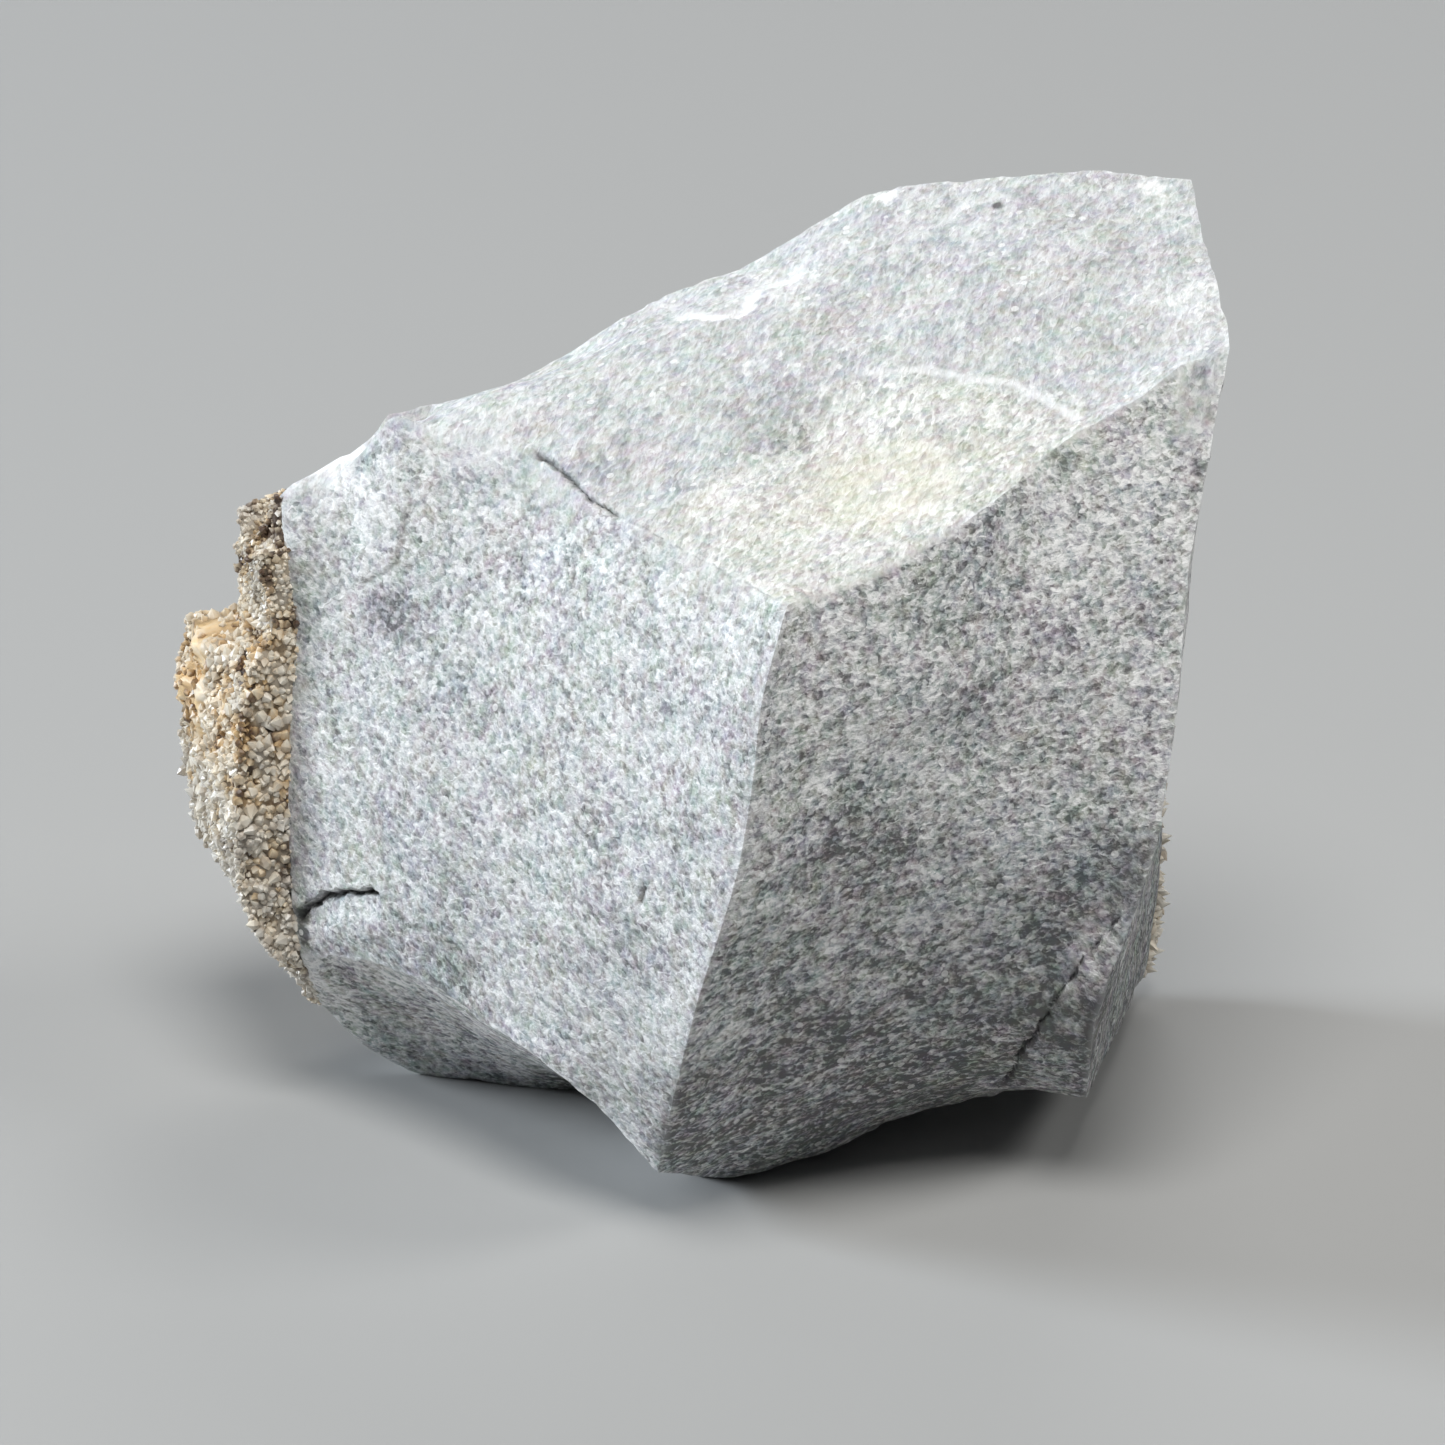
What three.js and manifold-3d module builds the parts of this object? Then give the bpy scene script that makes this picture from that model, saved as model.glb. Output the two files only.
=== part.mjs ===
// A hand specimen of dogstooth calcite: a broken block of fine-grained limestone that carries
// a druse, a crust of dogtooth calcite crystals, on its back and its left side.
//
// Millimetres, +Z up. +X is the block's right, -Y its broken front and +Y its back, where the
// druse is. The origin is on the small flat spot that the block rests on.
//
// The block's natural edges are drawn as lines of points. Each broken face is a patch filled in
// between its edge lines, then roughened and scarred. The druse is the back and the left side
// thickened outwards, with crystals grown into it.

import * as THREE from 'three';
import { mergeVertices } from 'three/addons/utils/BufferGeometryUtils.js';
import Module from 'manifold-3d';

const wasm = await Module();
wasm.setup();

// Driving dimensions, in millimetres.
const MESH_STEP = 3.2;            // usual length of a facet's side on the rock
const BED_STEP = 4.4;             // the same under the druse
const SWEEP = 0.3;                // share of an edge that is averaged for the face beside it
const BOW_FADE = 3.2;             // how fast a lower or upper edge's bow dies out inside a face
const JOG_FADE = 6;               // how fast an edge's small jogs die out inside a face
const UNDERSIDE_VAULT = 1.3;      // how far the hollow underside rises above a straight slope
const ROUGHNESS = 0.45;           // height of the rough grain on the broken faces
const ROUGHNESS_SIZE = 8.5;       // width of its bumps
const UNDERCUT_HOLLOW = 3;        // depth of the hollow in the undercut
const TOP_RISE = 0.8;             // height of the top's swell behind its big scar
const SCOOP_RAGGEDNESS = 0.12;    // how ragged a scar's rim is, as a share of its reach
const DRUSE_GAP = 0.3;            // clearance between the block and the druse
const DRUSE_ROOT = 1.5;           // how deep the druse's blank reaches into the block
const BACK_THICKNESS = 2.6;       // the druse's crust between its teeth, on the back
const DRUSE_SWELL = 0.9;          // height of the druse's broad lumps
const DRUSE_SWELL_SIZE = 9;       // width of those lumps
const DRUSE_OVERHANG = 0.4;       // how much of the bed's upward lean the druse grows along
const RIM_SLANT = 0.9;            // how far its rim slants back, as a share of its thickness
const RIM_DROP = 0.8;             // how much further it drops at the ridge's left end
const RIM_FLARE = 0.3;            // how far the rim flares out at the foot of the right end
const RIM_WIDTH = 4;              // width of that rim
const RIM_DROP_FROM = -20;         // from this X leftwards
const BACK_FROM = -35;            // the druse turns from the left side to the back at this X
const BACK_TURN = 9;              // width of that turn
const CRYSTAL_COUNT = 140;
const CRYSTAL_LENGTH = [1.7, 6.2];    // shortest and longest tooth above its girdle
const CRYSTAL_SLENDERNESS = 1.6;      // length over radius of a tooth
const CRYSTAL_ROOT = 0.6;             // depth of its buried end, as a share of its length
const CRYSTAL_TILT = 0.5;             // sideways lean of a tooth, as a share of its length
const CRYSTAL_EDGE_MARGIN = 3;        // no tooth starts nearer than this to the druse's edge
const CRYSTAL_RIDGE_MARGIN = 8;       // or nearer than this to the ridge
const CRYSTAL_FULL_SIZE_IN = 14;      // how far from the druse's edge the teeth reach full size
const CRYSTAL_BACK_SHARE = 0.5;       // teeth stand only where the druse is this much its back
const GIRDLE_ZIGZAG = 0.12;           // rise and fall of a tooth's girdle, as a share of its length
const FLOOR_MARGIN = 0.6;             // the druse keeps this far above the floor

const v3 = (x, y, z) => new THREE.Vector3(x, y, z);
const INSIDE = v3(0, -4, 32);         // a point deep inside the block

// The block's corners.
const TIP = v3(-3.5, -24.2, 4.0);             // lower end of the front edge
const BROW = v3(5.9, -31.4, 51.1);            // upper end of the front edge
const RIGHT_SHOULDER = v3(38.7, -7.1, 62.6);
const PEAK = v3(37.0, 16.8, 68.5);
const LEFT_SHOULDER = v3(-32.0, 4.4, 47.8);
const LEFT_ELBOW = v3(-30.9, -1.8, 12.3);     // where the undercut starts on the left
const LEFT_HEEL = v3(-29.7, 3.1, 6.7);
const LEFT_FOOT = v3(-22.4, 4.9, 0);
const FRONT_FOOT = v3(1.7, -16.0, 0);
const RIGHT_TOE = v3(28.7, -14.1, 5.8);
const BACK_RIGHT = v3(34.6, 19.0, 2.8);
const BACK_LEFT = v3(-28.9, 12.1, 4.1);

// A line of straight stretches through the given points. Each stretch is divided into steps of
// about MESH_STEP, and the patches on both sides of the line share those stations.
function line(...points) {
  const path = new THREE.CurvePath();
  const stations = [points[0]];
  for (let i = 1; i < points.length; i += 1) {
    const stretch = new THREE.LineCurve3(points[i - 1], points[i]);
    const steps = Math.max(1, Math.round(stretch.getLength() / MESH_STEP));
    path.add(stretch);
    for (let step = 1; step < steps; step += 1) {
      stations.push(stretch.getPoint(step / steps));
    }
    stations.push(points[i]);
  }
  const at = (t) => broad(path, t);
  const jog = (t) => path.getPoint(t).sub(at(t));
  return { stations, length: path.getLength(), at, jog };
}

// A point on the broad sweep of a path: the mean of the path around t, which leaves out the
// small jogs and keeps both ends.
function broad(path, t) {
  const reach = Math.min(SWEEP, t, 1 - t);
  const mean = v3(0, 0, 0);
  for (let sample = -2; sample <= 2; sample += 1) {
    mean.addScaledVector(path.getPoint(t + reach * sample / 2), 0.2);
  }
  return mean;
}

function reversed(edge) {
  const at = (t) => edge.at(1 - t);
  const jog = (t) => edge.jog(1 - t);
  return { stations: edge.stations.toReversed(), length: edge.length, at, jog };
}

// Two lines end to end. The second starts where the first ends.
function joined(first, second) {
  const length = first.length + second.length;
  const share = first.length / length;
  const stations = [...first.stations, ...second.stations.slice(1)];
  function on(name) {
    return (t) => (t <= share ? first[name](t / share) : second[name]((t - share) / (1 - share)));
  }
  return { stations, length, at: on('at'), jog: on('jog') };
}

// The block's natural edges.
const frontEdge = line(TIP, v3(-2.8, -27.6, 9.0), v3(-1.9, -30.8, 14.4), v3(-0.5, -33.4, 21.5),
  v3(0.9, -34.5, 26.5), v3(2.3, -34.9, 31.3), v3(3.0, -34.9, 35.3), v3(3.6, -34.7, 39.6),
  v3(3.8, -34.3, 42.9), v3(4.2, -33.8, 45.3), v3(4.9, -33.0, 47.6), BROW);
const leftTopEdge = line(LEFT_SHOULDER, v3(-29.1, 3.8, 48.3), v3(-26.3, 3.4, 50.4), v3(-25.0, 3.4, 52.3),
  v3(-23.4, 3.2, 54.2), v3(-20.4, 1.2, 53.8), v3(-15.6, -1.2, 53.8), v3(-12.1, -3.9, 53.3),
  v3(-9.7, -7.7, 52.4), v3(-7.6, -11.5, 51.8), v3(-4.5, -15.2, 51.5), v3(0.1, -21.2, 50.9),
  v3(2.1, -24.1, 50.8), v3(3.6, -26.6, 50.8), BROW);
const rightTopEdge = line(BROW, v3(8.3, -28.7, 50.9), v3(13.3, -26.2, 52.2), v3(18.5, -22.7, 54.2),
  v3(22.7, -19.0, 56.1), v3(24.0, -16.3, 57.0), v3(27.4, -13.4, 58.4), v3(31.7, -11.2, 59.9),
  v3(34.8, -7.7, 61.5), RIGHT_SHOULDER);
const endTopEdge = line(RIGHT_SHOULDER, v3(38.6, -3.1, 63.1), v3(38.2, 1.8, 64.5), v3(37.5, 9.9, 66.5),
  PEAK);
const ridge = line(LEFT_SHOULDER, v3(-28.8, 6.0, 49.0), v3(-26.1, 6.4, 50.4), v3(-24.9, 6.4, 51.5),
  v3(-23.9, 6.2, 53.4), v3(-20.6, 8.0, 53.4), v3(-17.8, 9.2, 53.5), v3(-14.0, 11.0, 54.4),
  v3(-11.0, 12.4, 55.8), v3(-8.0, 13.7, 57.5), v3(-4.9, 15.0, 58.9), v3(-0.8, 16.5, 60.7),
  v3(2.1, 17.2, 60.9), v3(6.2, 19.2, 63.1), v3(12.6, 21.2, 66.3), v3(15.3, 21.6, 66.8),
  v3(20.4, 20.7, 67.4), v3(29.4, 19.0, 68.7), PEAK);
const rightEdge = line(RIGHT_TOE, v3(28.6, -18.3, 9.7), v3(28.7, -21.4, 14.3), v3(29.3, -22.8, 17.8),
  v3(31.8, -23.2, 25.0), v3(33.4, -22.6, 31.1), v3(34.5, -20.4, 39.8), v3(35.5, -16.1, 49.6),
  v3(37.3, -11.3, 57.6), RIGHT_SHOULDER);
const backRightEdge = line(BACK_RIGHT, v3(35.6, 19.4, 8.4), v3(35.9, 19.6, 17.9), v3(36.2, 19.9, 33.6),
  v3(36.8, 19.6, 49.9), v3(36.9, 18.5, 59.9), PEAK);
const backLeftEdge = line(BACK_LEFT, v3(-31.4, 13.2, 7.0), v3(-35.4, 14.1, 15.0), v3(-36.3, 14.6, 24.0),
  v3(-36.0, 14.1, 32.3), v3(-34.7, 12.8, 36.8), v3(-33.6, 11.0, 41.5), LEFT_SHOULDER);
const leftHeelEdge = line(LEFT_HEEL, LEFT_ELBOW);
const druseBorderLow = line(LEFT_ELBOW, v3(-31.5, -1.5, 16.9), v3(-31.6, -0.7, 24.9), v3(-31.3, 0.4, 32.3));
const druseBorderHigh = line(v3(-31.3, 0.4, 32.3), v3(-30.8, 1.0, 37.7), v3(-31.4, 2.2, 43.7),
  LEFT_SHOULDER);
const lip = line(LEFT_ELBOW, v3(-26.4, -5.5, 13.3), v3(-21.6, -10.6, 14.1), v3(-17.2, -15.7, 13.3),
  v3(-13.3, -20.7, 12.6), v3(-10.0, -23.1, 10.8), v3(-7.4, -23.4, 8.7), v3(-5.3, -23.8, 6.0), TIP);
const tipEdge = line(FRONT_FOOT, v3(-0.1, -18.5, 1.3), TIP);
const rightFootEdge = line(FRONT_FOOT, v3(4.3, -16.8, 1.1), v3(9.4, -13.2, 1.2), v3(14.7, -11.0, 3.1),
  v3(22.2, -10.6, 5.0), RIGHT_TOE);
const endFootEdge = line(RIGHT_TOE, v3(30.2, -4.4, 4.7), v3(31.7, 3.3, 3.7), BACK_RIGHT);
const backFootEdge = line(BACK_RIGHT, v3(24, 19.6, 3.2), v3(10, 19.6, 2.6), v3(-6, 17.6, 2.8),
  v3(-19, 15.0, 3.4), BACK_LEFT);
const leftFootEdge = line(BACK_LEFT, LEFT_HEEL);
const undercutEdge = line(LEFT_FOOT, v3(-24.4, 5.1, 1.0), v3(-26.5, 4.2, 2.6), LEFT_HEEL);

// The outline of the flat spot, in two lines between its front and its left corner.
const flatSpotBack = line(FRONT_FOOT, v3(5, -13.2, 0), v3(9.4, -9.2, 0), v3(13.5, -2, 0), v3(16, 4, 0),
  v3(15.5, 10, 0), v3(10, 14, 0), v3(-1, 14.5, 0), v3(-12, 12.5, 0), v3(-19.5, 9.5, 0), LEFT_FOOT);
const flatSpotFront = line(LEFT_FOOT, v3(-18, 3.2, 0), v3(-13.4, 2.2, 0), v3(-8.4, 1.4, 0),
  v3(-5.4, -5.5, 0), v3(-3.2, -12, 0), v3(-0.8, -15.2, 0), FRONT_FOOT);

// Repeatable pseudo-random numbers between 0 and 1.
function dice(seed) {
  let state = seed;
  return () => {
    state = (state * 1664525 + 1013904223) % 4294967296;
    return state / 4294967296;
  };
}

// Smooth noise between -1 and 1 whose bumps are about `size` wide.
function noise(point, size, seed = 0) {
  const cell = point.clone().divideScalar(size);
  const corner = cell.clone().floor();
  const soft = cell.clone().sub(corner);
  const fade = [soft.x, soft.y, soft.z].map((t) => t * t * (3 - 2 * t));
  let sum = 0;
  for (let n = 0; n < 8; n += 1) {
    const bits = [n & 1, (n >> 1) & 1, (n >> 2) & 1];
    const spot = corner.x + bits[0] + 157 * (corner.y + bits[1]) + 113 * (corner.z + bits[2]) + seed;
    const value = Math.sin(spot * 12.9898) * 43758.5453;
    const weight = bits.reduce((product, bit, axis) => product * (bit ? fade[axis] : 1 - fade[axis]), 1);
    sum += weight * (value - Math.floor(value));
  }
  return 2 * sum - 1;
}

// The broken stone's rough surface: broad bumps with smaller ones on them.
function roughness(point) {
  return ROUGHNESS * (noise(point, ROUGHNESS_SIZE) + 0.5 * noise(point, ROUGHNESS_SIZE / 2, 5));
}

// Triangles between two lines of points, taking the shorter diagonal each time.
function stitch(outer, inner, triangles) {
  let i = 0;
  let j = 0;
  while (i < outer.length - 1 || j < inner.length - 1) {
    const stepOuter = i < outer.length - 1 ? outer[i + 1].distanceTo(inner[j]) : Infinity;
    const stepInner = j < inner.length - 1 ? outer[i].distanceTo(inner[j + 1]) : Infinity;
    if (stepOuter < stepInner) {
      triangles.push([outer[i], outer[i + 1], inner[j]]);
      i += 1;
    } else {
      triangles.push([outer[i], inner[j + 1], inner[j]]);
      j += 1;
    }
  }
}

// How far an edge's broad sweep lies from the straight line between its ends.
const bow = (edge, t) => edge.at(t).sub(edge.at(0).lerp(edge.at(1), t));

// A broken face between four edge lines: a surface blended from its corners, to which each edge
// adds its bow and its jogs, dying out inwards. Bottom and top run the same way and so do left
// and right. Seen from outside, bottom runs to the right. `relief` lifts a point.
function face(bottom, top, left, right, relief, step = MESH_STEP) {
  const across = Math.max(3, Math.round((bottom.length + top.length) / 2 / step));
  const up = Math.max(3, Math.round((left.length + right.length) / 2 / step));

  function surface(u, v) {
    const point = bottom.at(0).lerp(bottom.at(1), u).lerp(top.at(0).lerp(top.at(1), u), v);
    point.addScaledVector(bow(bottom, u), (1 - v) ** BOW_FADE).addScaledVector(bow(top, u), v ** BOW_FADE);
    point.addScaledVector(bow(left, v), 1 - u).addScaledVector(bow(right, v), u);
    point.addScaledVector(bottom.jog(u), (1 - v) ** JOG_FADE).addScaledVector(top.jog(u), v ** JOG_FADE);
    point.addScaledVector(left.jog(v), (1 - u) ** JOG_FADE).addScaledVector(right.jog(v), u ** JOG_FADE);
    return point;
  }

  function lifted(u, v) {
    const reach = 0.02;
    const along = surface(u + reach, v).sub(surface(u - reach, v));
    const upward = surface(u, v + reach).sub(surface(u, v - reach));
    const point = surface(u, v);
    const height = relief(u, v) + roughness(point);
    return point.addScaledVector(along.cross(upward).normalize(), height);
  }

  const rows = [];
  for (let j = 1; j < up; j += 1) {
    rows.push(Array.from({ length: across - 1 }, (_, i) => lifted((i + 1) / across, j / up)));
  }
  const triangles = [];
  for (let j = 1; j < rows.length; j += 1) {
    stitch(rows[j - 1], rows[j], triangles);
  }
  const inner = [...rows[0], ...rows.slice(1).map((row) => row.at(-1)),
    ...rows.at(-1).toReversed().slice(1),
    ...rows.slice(1, -1).toReversed().map((row) => row[0]), rows[0][0]];
  const outer = [...bottom.stations, ...right.stations.slice(1), ...top.stations.toReversed().slice(1),
    ...left.stations.toReversed().slice(1)];
  stitch(outer, inner, triangles);
  return triangles;
}

// A band between two lines that start and end together, in `rows` rows. Seen from outside, both
// run to the right and `low` is below.
function band(low, high, rows) {
  const count = Math.round(high.length / MESH_STEP);
  const lines = [low.stations];
  for (let row = 1; row < rows; row += 1) {
    const between = Array.from({ length: count + 1 }, (_, i) => {
      const point = low.at(i / count).lerp(high.at(i / count), row / rows);
      const free = Math.sin(Math.PI * i / count);
      return point.add(v3(0, 0, free * (UNDERSIDE_VAULT + roughness(point))));
    });
    lines.push(between);
  }
  lines.push(high.stations);
  const triangles = [];
  for (let row = 1; row < lines.length; row += 1) {
    stitch(lines[row - 1], lines[row], triangles);
  }
  return triangles;
}

// The flat spot itself: a closed outline at one height, filled in and facing down.
function flatSpot(outline) {
  const flat = outline.map((point) => new THREE.Vector2(point.x, point.y));
  const corners = THREE.ShapeUtils.triangulateShape(flat, []);
  return corners.map(([a, b, c]) => [outline[c], outline[b], outline[a]]);
}

// A closed or open surface with shared points, from loose triangles.
function welded(triangles) {
  const corners = triangles.flatMap((triangle) => triangle.flatMap((point) => point.toArray()));
  const loose = new THREE.BufferGeometry();
  loose.setAttribute('position', new THREE.Float32BufferAttribute(corners, 3));
  const merged = mergeVertices(loose, 1e-4);
  const index = Array.from(merged.index.array);
  const kept = [];
  for (let i = 0; i < index.length; i += 3) {
    const [a, b, c] = index.slice(i, i + 3);
    if (a !== b && b !== c && a !== c) {
      kept.push(a, b, c);
    }
  }
  merged.setIndex(kept);
  return merged;
}

function solid(geometry) {
  const vertProperties = new Float32Array(geometry.attributes.position.array);
  const triVerts = new Uint32Array(geometry.index.array);
  return new wasm.Manifold(new wasm.Mesh({ numProp: 3, vertProperties, triVerts }));
}

function geometryOf(body) {
  const mesh = body.getMesh();
  const geometry = new THREE.BufferGeometry();
  geometry.setAttribute('position', new THREE.BufferAttribute(mesh.vertProperties, 3));
  geometry.setIndex(new THREE.BufferAttribute(mesh.triVerts, 1));
  return geometry;
}

const smooth = (t) => THREE.MathUtils.smoothstep(t, 0, 1);
const none = () => 0;

// The top is highest behind the big flake scar, which dips along the right front edge.
function topRelief(u, v) {
  return TOP_RISE * smooth((v - 0.4) * 5) * smooth((1 - v) * 4) * smooth(u * 6) * smooth((1 - u) * 4);
}

// The undercut is hollow under the front tip.
function undercutRelief(u, v) {
  return -UNDERCUT_HOLLOW * smooth(u * 3) * smooth((1 - u) * 3) * smooth(v * 3) * smooth((1 - v) * 3);
}

const frontLeftFace = face(lip, leftTopEdge, joined(druseBorderLow, druseBorderHigh), frontEdge, none);
const frontRightFoot = joined(reversed(tipEdge), rightFootEdge);
const frontRightFace = face(frontRightFoot, rightTopEdge, frontEdge, rightEdge, none);
const endFace = face(endFootEdge, endTopEdge, rightEdge, backRightEdge, none);
const topFace = face(rightTopEdge, ridge, reversed(leftTopEdge), endTopEdge, topRelief);
const undercutFace = face(flatSpotFront, lip, joined(undercutEdge, leftHeelEdge), tipEdge, undercutRelief);
const undersideFace = band(flatSpotBack, joined(joined(joined(rightFootEdge, endFootEdge), backFootEdge),
  joined(leftFootEdge, reversed(undercutEdge))), 3);
const restingFace = flatSpot(joined(flatSpotBack, flatSpotFront).stations.slice(0, -1));

// The two faces that carry the druse.
const backFace = face(backFootEdge, reversed(ridge), backRightEdge, backLeftEdge, none, BED_STEP);
const sideFace = face(leftFootEdge, reversed(druseBorderHigh), backLeftEdge,
  joined(leftHeelEdge, druseBorderLow), none, BED_STEP);

const block = welded([...frontLeftFace, ...frontRightFace, ...endFace, ...topFace, ...undercutFace,
  ...undersideFace, ...restingFace, ...backFace, ...sideFace]);

// A shallow scoop: a rough bowl `reach` wide and `depth` deep, pressed into a face at `centre`.
function scoop(centre, facing, reach, depth) {
  const rings = [0, 0.3, 0.6, 0.85, 1.1, 1.35];
  const profile = rings.map((ring) => new THREE.Vector2(ring * reach, depth * (ring * ring - 1)));
  profile.push(new THREE.Vector2(0, depth * 0.9 + 2));
  profile[0].x = 0;
  const bowl = new THREE.LatheGeometry(profile, 13);
  bowl.deleteAttribute('normal');
  bowl.deleteAttribute('uv');
  bowl.rotateX(Math.PI / 2);
  bowl.applyQuaternion(new THREE.Quaternion().setFromUnitVectors(v3(0, 0, 1), facing.clone().normalize()));
  bowl.translate(centre.x, centre.y, centre.z);
  const closed = mergeVertices(bowl, 1e-4);
  const spots = closed.attributes.position;
  for (let i = 0; i < spots.count; i += 1) {
    const spot = v3().fromBufferAttribute(spots, i);
    const shift = reach * SCOOP_RAGGEDNESS;
    spot.x += shift * noise(spot, reach * 0.7, 3);
    spot.y += shift * noise(spot, reach * 0.7, 7);
    spots.setXYZ(i, spot.x, spot.y, spot.z);
  }
  return solid(closed);
}

const UPWARD = v3(-0.2, -0.25, 0.95);      // the way the top faces
const scars = [
  scoop(v3(15, -15.5, 56.3), UPWARD, 11.5, 0.9),
  scoop(v3(36.8, 4, 38), v3(1, 0, 0), 10, 0.8),
  scoop(v3(34.5, 6, 14), v3(1, -0.1, -0.2), 7, 0.8),
];

const rock = scars.reduce((body, scar) => body.subtract(scar), solid(block));

// The druse's own surface: the back and the left side of the block, as shared points.
const bed = welded([...backFace, ...sideFace]);
bed.computeVertexNormals();

// The druse's thickness up the left side, as [height, thickness].
const SIDE_THICKNESS = [[3, 1.0], [8, 1.1], [10, 1.5], [12.3, 2.3], [16, 4.8],
  [20, 5.5], [24, 5.2], [28, 5.4], [34.2, 5.3], [36.4, 2.4], [42, 2.4], [46, 3.6]];

function sideThickness(height) {
  const above = SIDE_THICKNESS.findIndex(([level]) => level > height);
  if (above < 1) {
    return (above === 0 ? SIDE_THICKNESS[0] : SIDE_THICKNESS.at(-1))[1];
  }
  const [[low, thin], [high, thick]] = [SIDE_THICKNESS[above - 1], SIDE_THICKNESS[above]];
  return thin + (thick - thin) * (height - low) / (high - low);
}

const nearest = (point, others) => Math.min(...others.map((other) => other.distanceTo(point)));

// 0 on the left side, 1 on the back.
const backShare = (point) => smooth((point.x - BACK_FROM) / BACK_TURN);

// The druse's outer surface above a point of its bed. Along the ridge and the right end it
// slants back, so that the broken faces hide it from the front. It flares at the right foot.
function druseTop(point, normal) {
  const thickness = THREE.MathUtils.lerp(sideThickness(point.z), BACK_THICKNESS, backShare(point));
  const slant = v3(0, 0, 0);
  const drop = RIM_SLANT + RIM_DROP * smooth((RIM_DROP_FROM - point.x) / RIM_WIDTH);
  slant.z -= drop * (1 - smooth(nearest(point, ridge.stations) / RIM_WIDTH));
  slant.x -= RIM_SLANT * (1 - smooth(nearest(point, backRightEdge.stations.slice(4)) / RIM_WIDTH));
  slant.x += RIM_FLARE * (1 - smooth(nearest(point, backRightEdge.stations.slice(0, 3)) / RIM_WIDTH));
  const outward = v3(normal.x, normal.y, normal.z * DRUSE_OVERHANG).normalize().add(slant);
  const swell = DRUSE_SWELL * noise(point, DRUSE_SWELL_SIZE, 11);
  const top = point.clone().addScaledVector(outward, thickness + swell);
  top.z = Math.max(top.z, FLOOR_MARGIN);
  return top;
}

function druseRoot(point) {
  return point.clone().lerp(INSIDE, DRUSE_ROOT / point.distanceTo(INSIDE));
}

// The open bed thickened into a closed blank from its roots to its top. The walls round its
// border pass through the border itself, so that they lie flush with the broken faces.
function blank(surface) {
  const spots = surface.attributes.position;
  const normals = surface.attributes.normal;
  const index = Array.from(surface.index.array);
  const points = Array.from({ length: spots.count }, (_, i) => v3().fromBufferAttribute(spots, i));
  const tops = points.map((point, i) => druseTop(point, v3().fromBufferAttribute(normals, i)));
  const roots = points.map(druseRoot);
  const triangles = [];
  const sides = new Set();
  for (let i = 0; i < index.length; i += 3) {
    const [a, b, c] = index.slice(i, i + 3);
    triangles.push([tops[a], tops[b], tops[c]], [roots[c], roots[b], roots[a]]);
    [[a, b], [b, c], [c, a]].forEach(([from, to]) => sides.add(`${from} ${to}`));
  }
  const border = [...sides].map((side) => side.split(' ').map(Number))
    .filter(([from, to]) => !sides.has(`${to} ${from}`));
  border.forEach(([from, to]) => {
    triangles.push([points[from], points[to], tops[to]], [points[from], tops[to], tops[from]]);
    triangles.push([roots[from], roots[to], points[to]], [roots[from], points[to], points[from]]);
  });
  const borderPoints = border.map(([from]) => points[from]);
  return { body: solid(welded(triangles)), points, tops, index, border: borderPoints };
}

// A dogtooth: a six-sided calcite tooth pointing along +Z, with its zigzag girdle at the origin.
function tooth(length, radius) {
  const girdle = Array.from({ length: 6 }, (_, k) => {
    const turn = k * Math.PI / 3;
    return v3(radius * Math.cos(turn), radius * Math.sin(turn), length * GIRDLE_ZIGZAG * (k % 2 ? -1 : 1));
  });
  const crown = v3(0, 0, length);
  const root = v3(0, 0, -length * CRYSTAL_ROOT);
  return girdle.flatMap((corner, k) => {
    const next = girdle[(k + 1) % 6];
    return [[crown, corner, next], [root, next, corner]];
  });
}

// Where the teeth stand: spread over the druse's top, none near its border.
function toothSpots(druse, roll) {
  const { points, tops, index, border } = druse;
  const faces = [];
  let total = 0;
  for (let i = 0; i < index.length; i += 3) {
    const corners = index.slice(i, i + 3);
    const [a, b, c] = corners.map((corner) => tops[corner]);
    total += b.clone().sub(a).cross(c.clone().sub(a)).length();
    faces.push({ corners, upTo: total });
  }
  function candidate() {
    const pick = roll() * total;
    const { corners } = faces.find(({ upTo }) => upTo >= pick);
    const [s, t] = [Math.sqrt(roll()), roll()];
    const weights = [1 - s, s * (1 - t), s * t];
    function mixed(from) {
      return corners.reduce((sum, corner, k) => sum.addScaledVector(from[corner], weights[k]), v3());
    }
    const spot = mixed(tops);
    const base = mixed(points);
    const [a, b, c] = corners.map((corner) => tops[corner]);
    const facing = b.clone().sub(a).cross(c.clone().sub(a)).normalize();
    const fromBorder = Math.min(...border.map((point) => point.distanceTo(base)));
    return { spot, facing, fromBorder };
  }
  const standsFree = ({ spot, fromBorder }) => (
    fromBorder > CRYSTAL_EDGE_MARGIN
    && nearest(spot, ridge.stations) > CRYSTAL_RIDGE_MARGIN
    && backShare(spot) > CRYSTAL_BACK_SHARE);
  const spots = [];
  while (spots.length < CRYSTAL_COUNT) {
    const tries = Array.from({ length: 8 }, candidate).filter(standsFree);
    const room = (one) => Math.min(99, ...spots.map((other) => other.spot.distanceTo(one.spot)));
    tries.sort((one, other) => room(other) - room(one));
    spots.push(...tries.slice(0, 1));
  }
  return spots;
}

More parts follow.
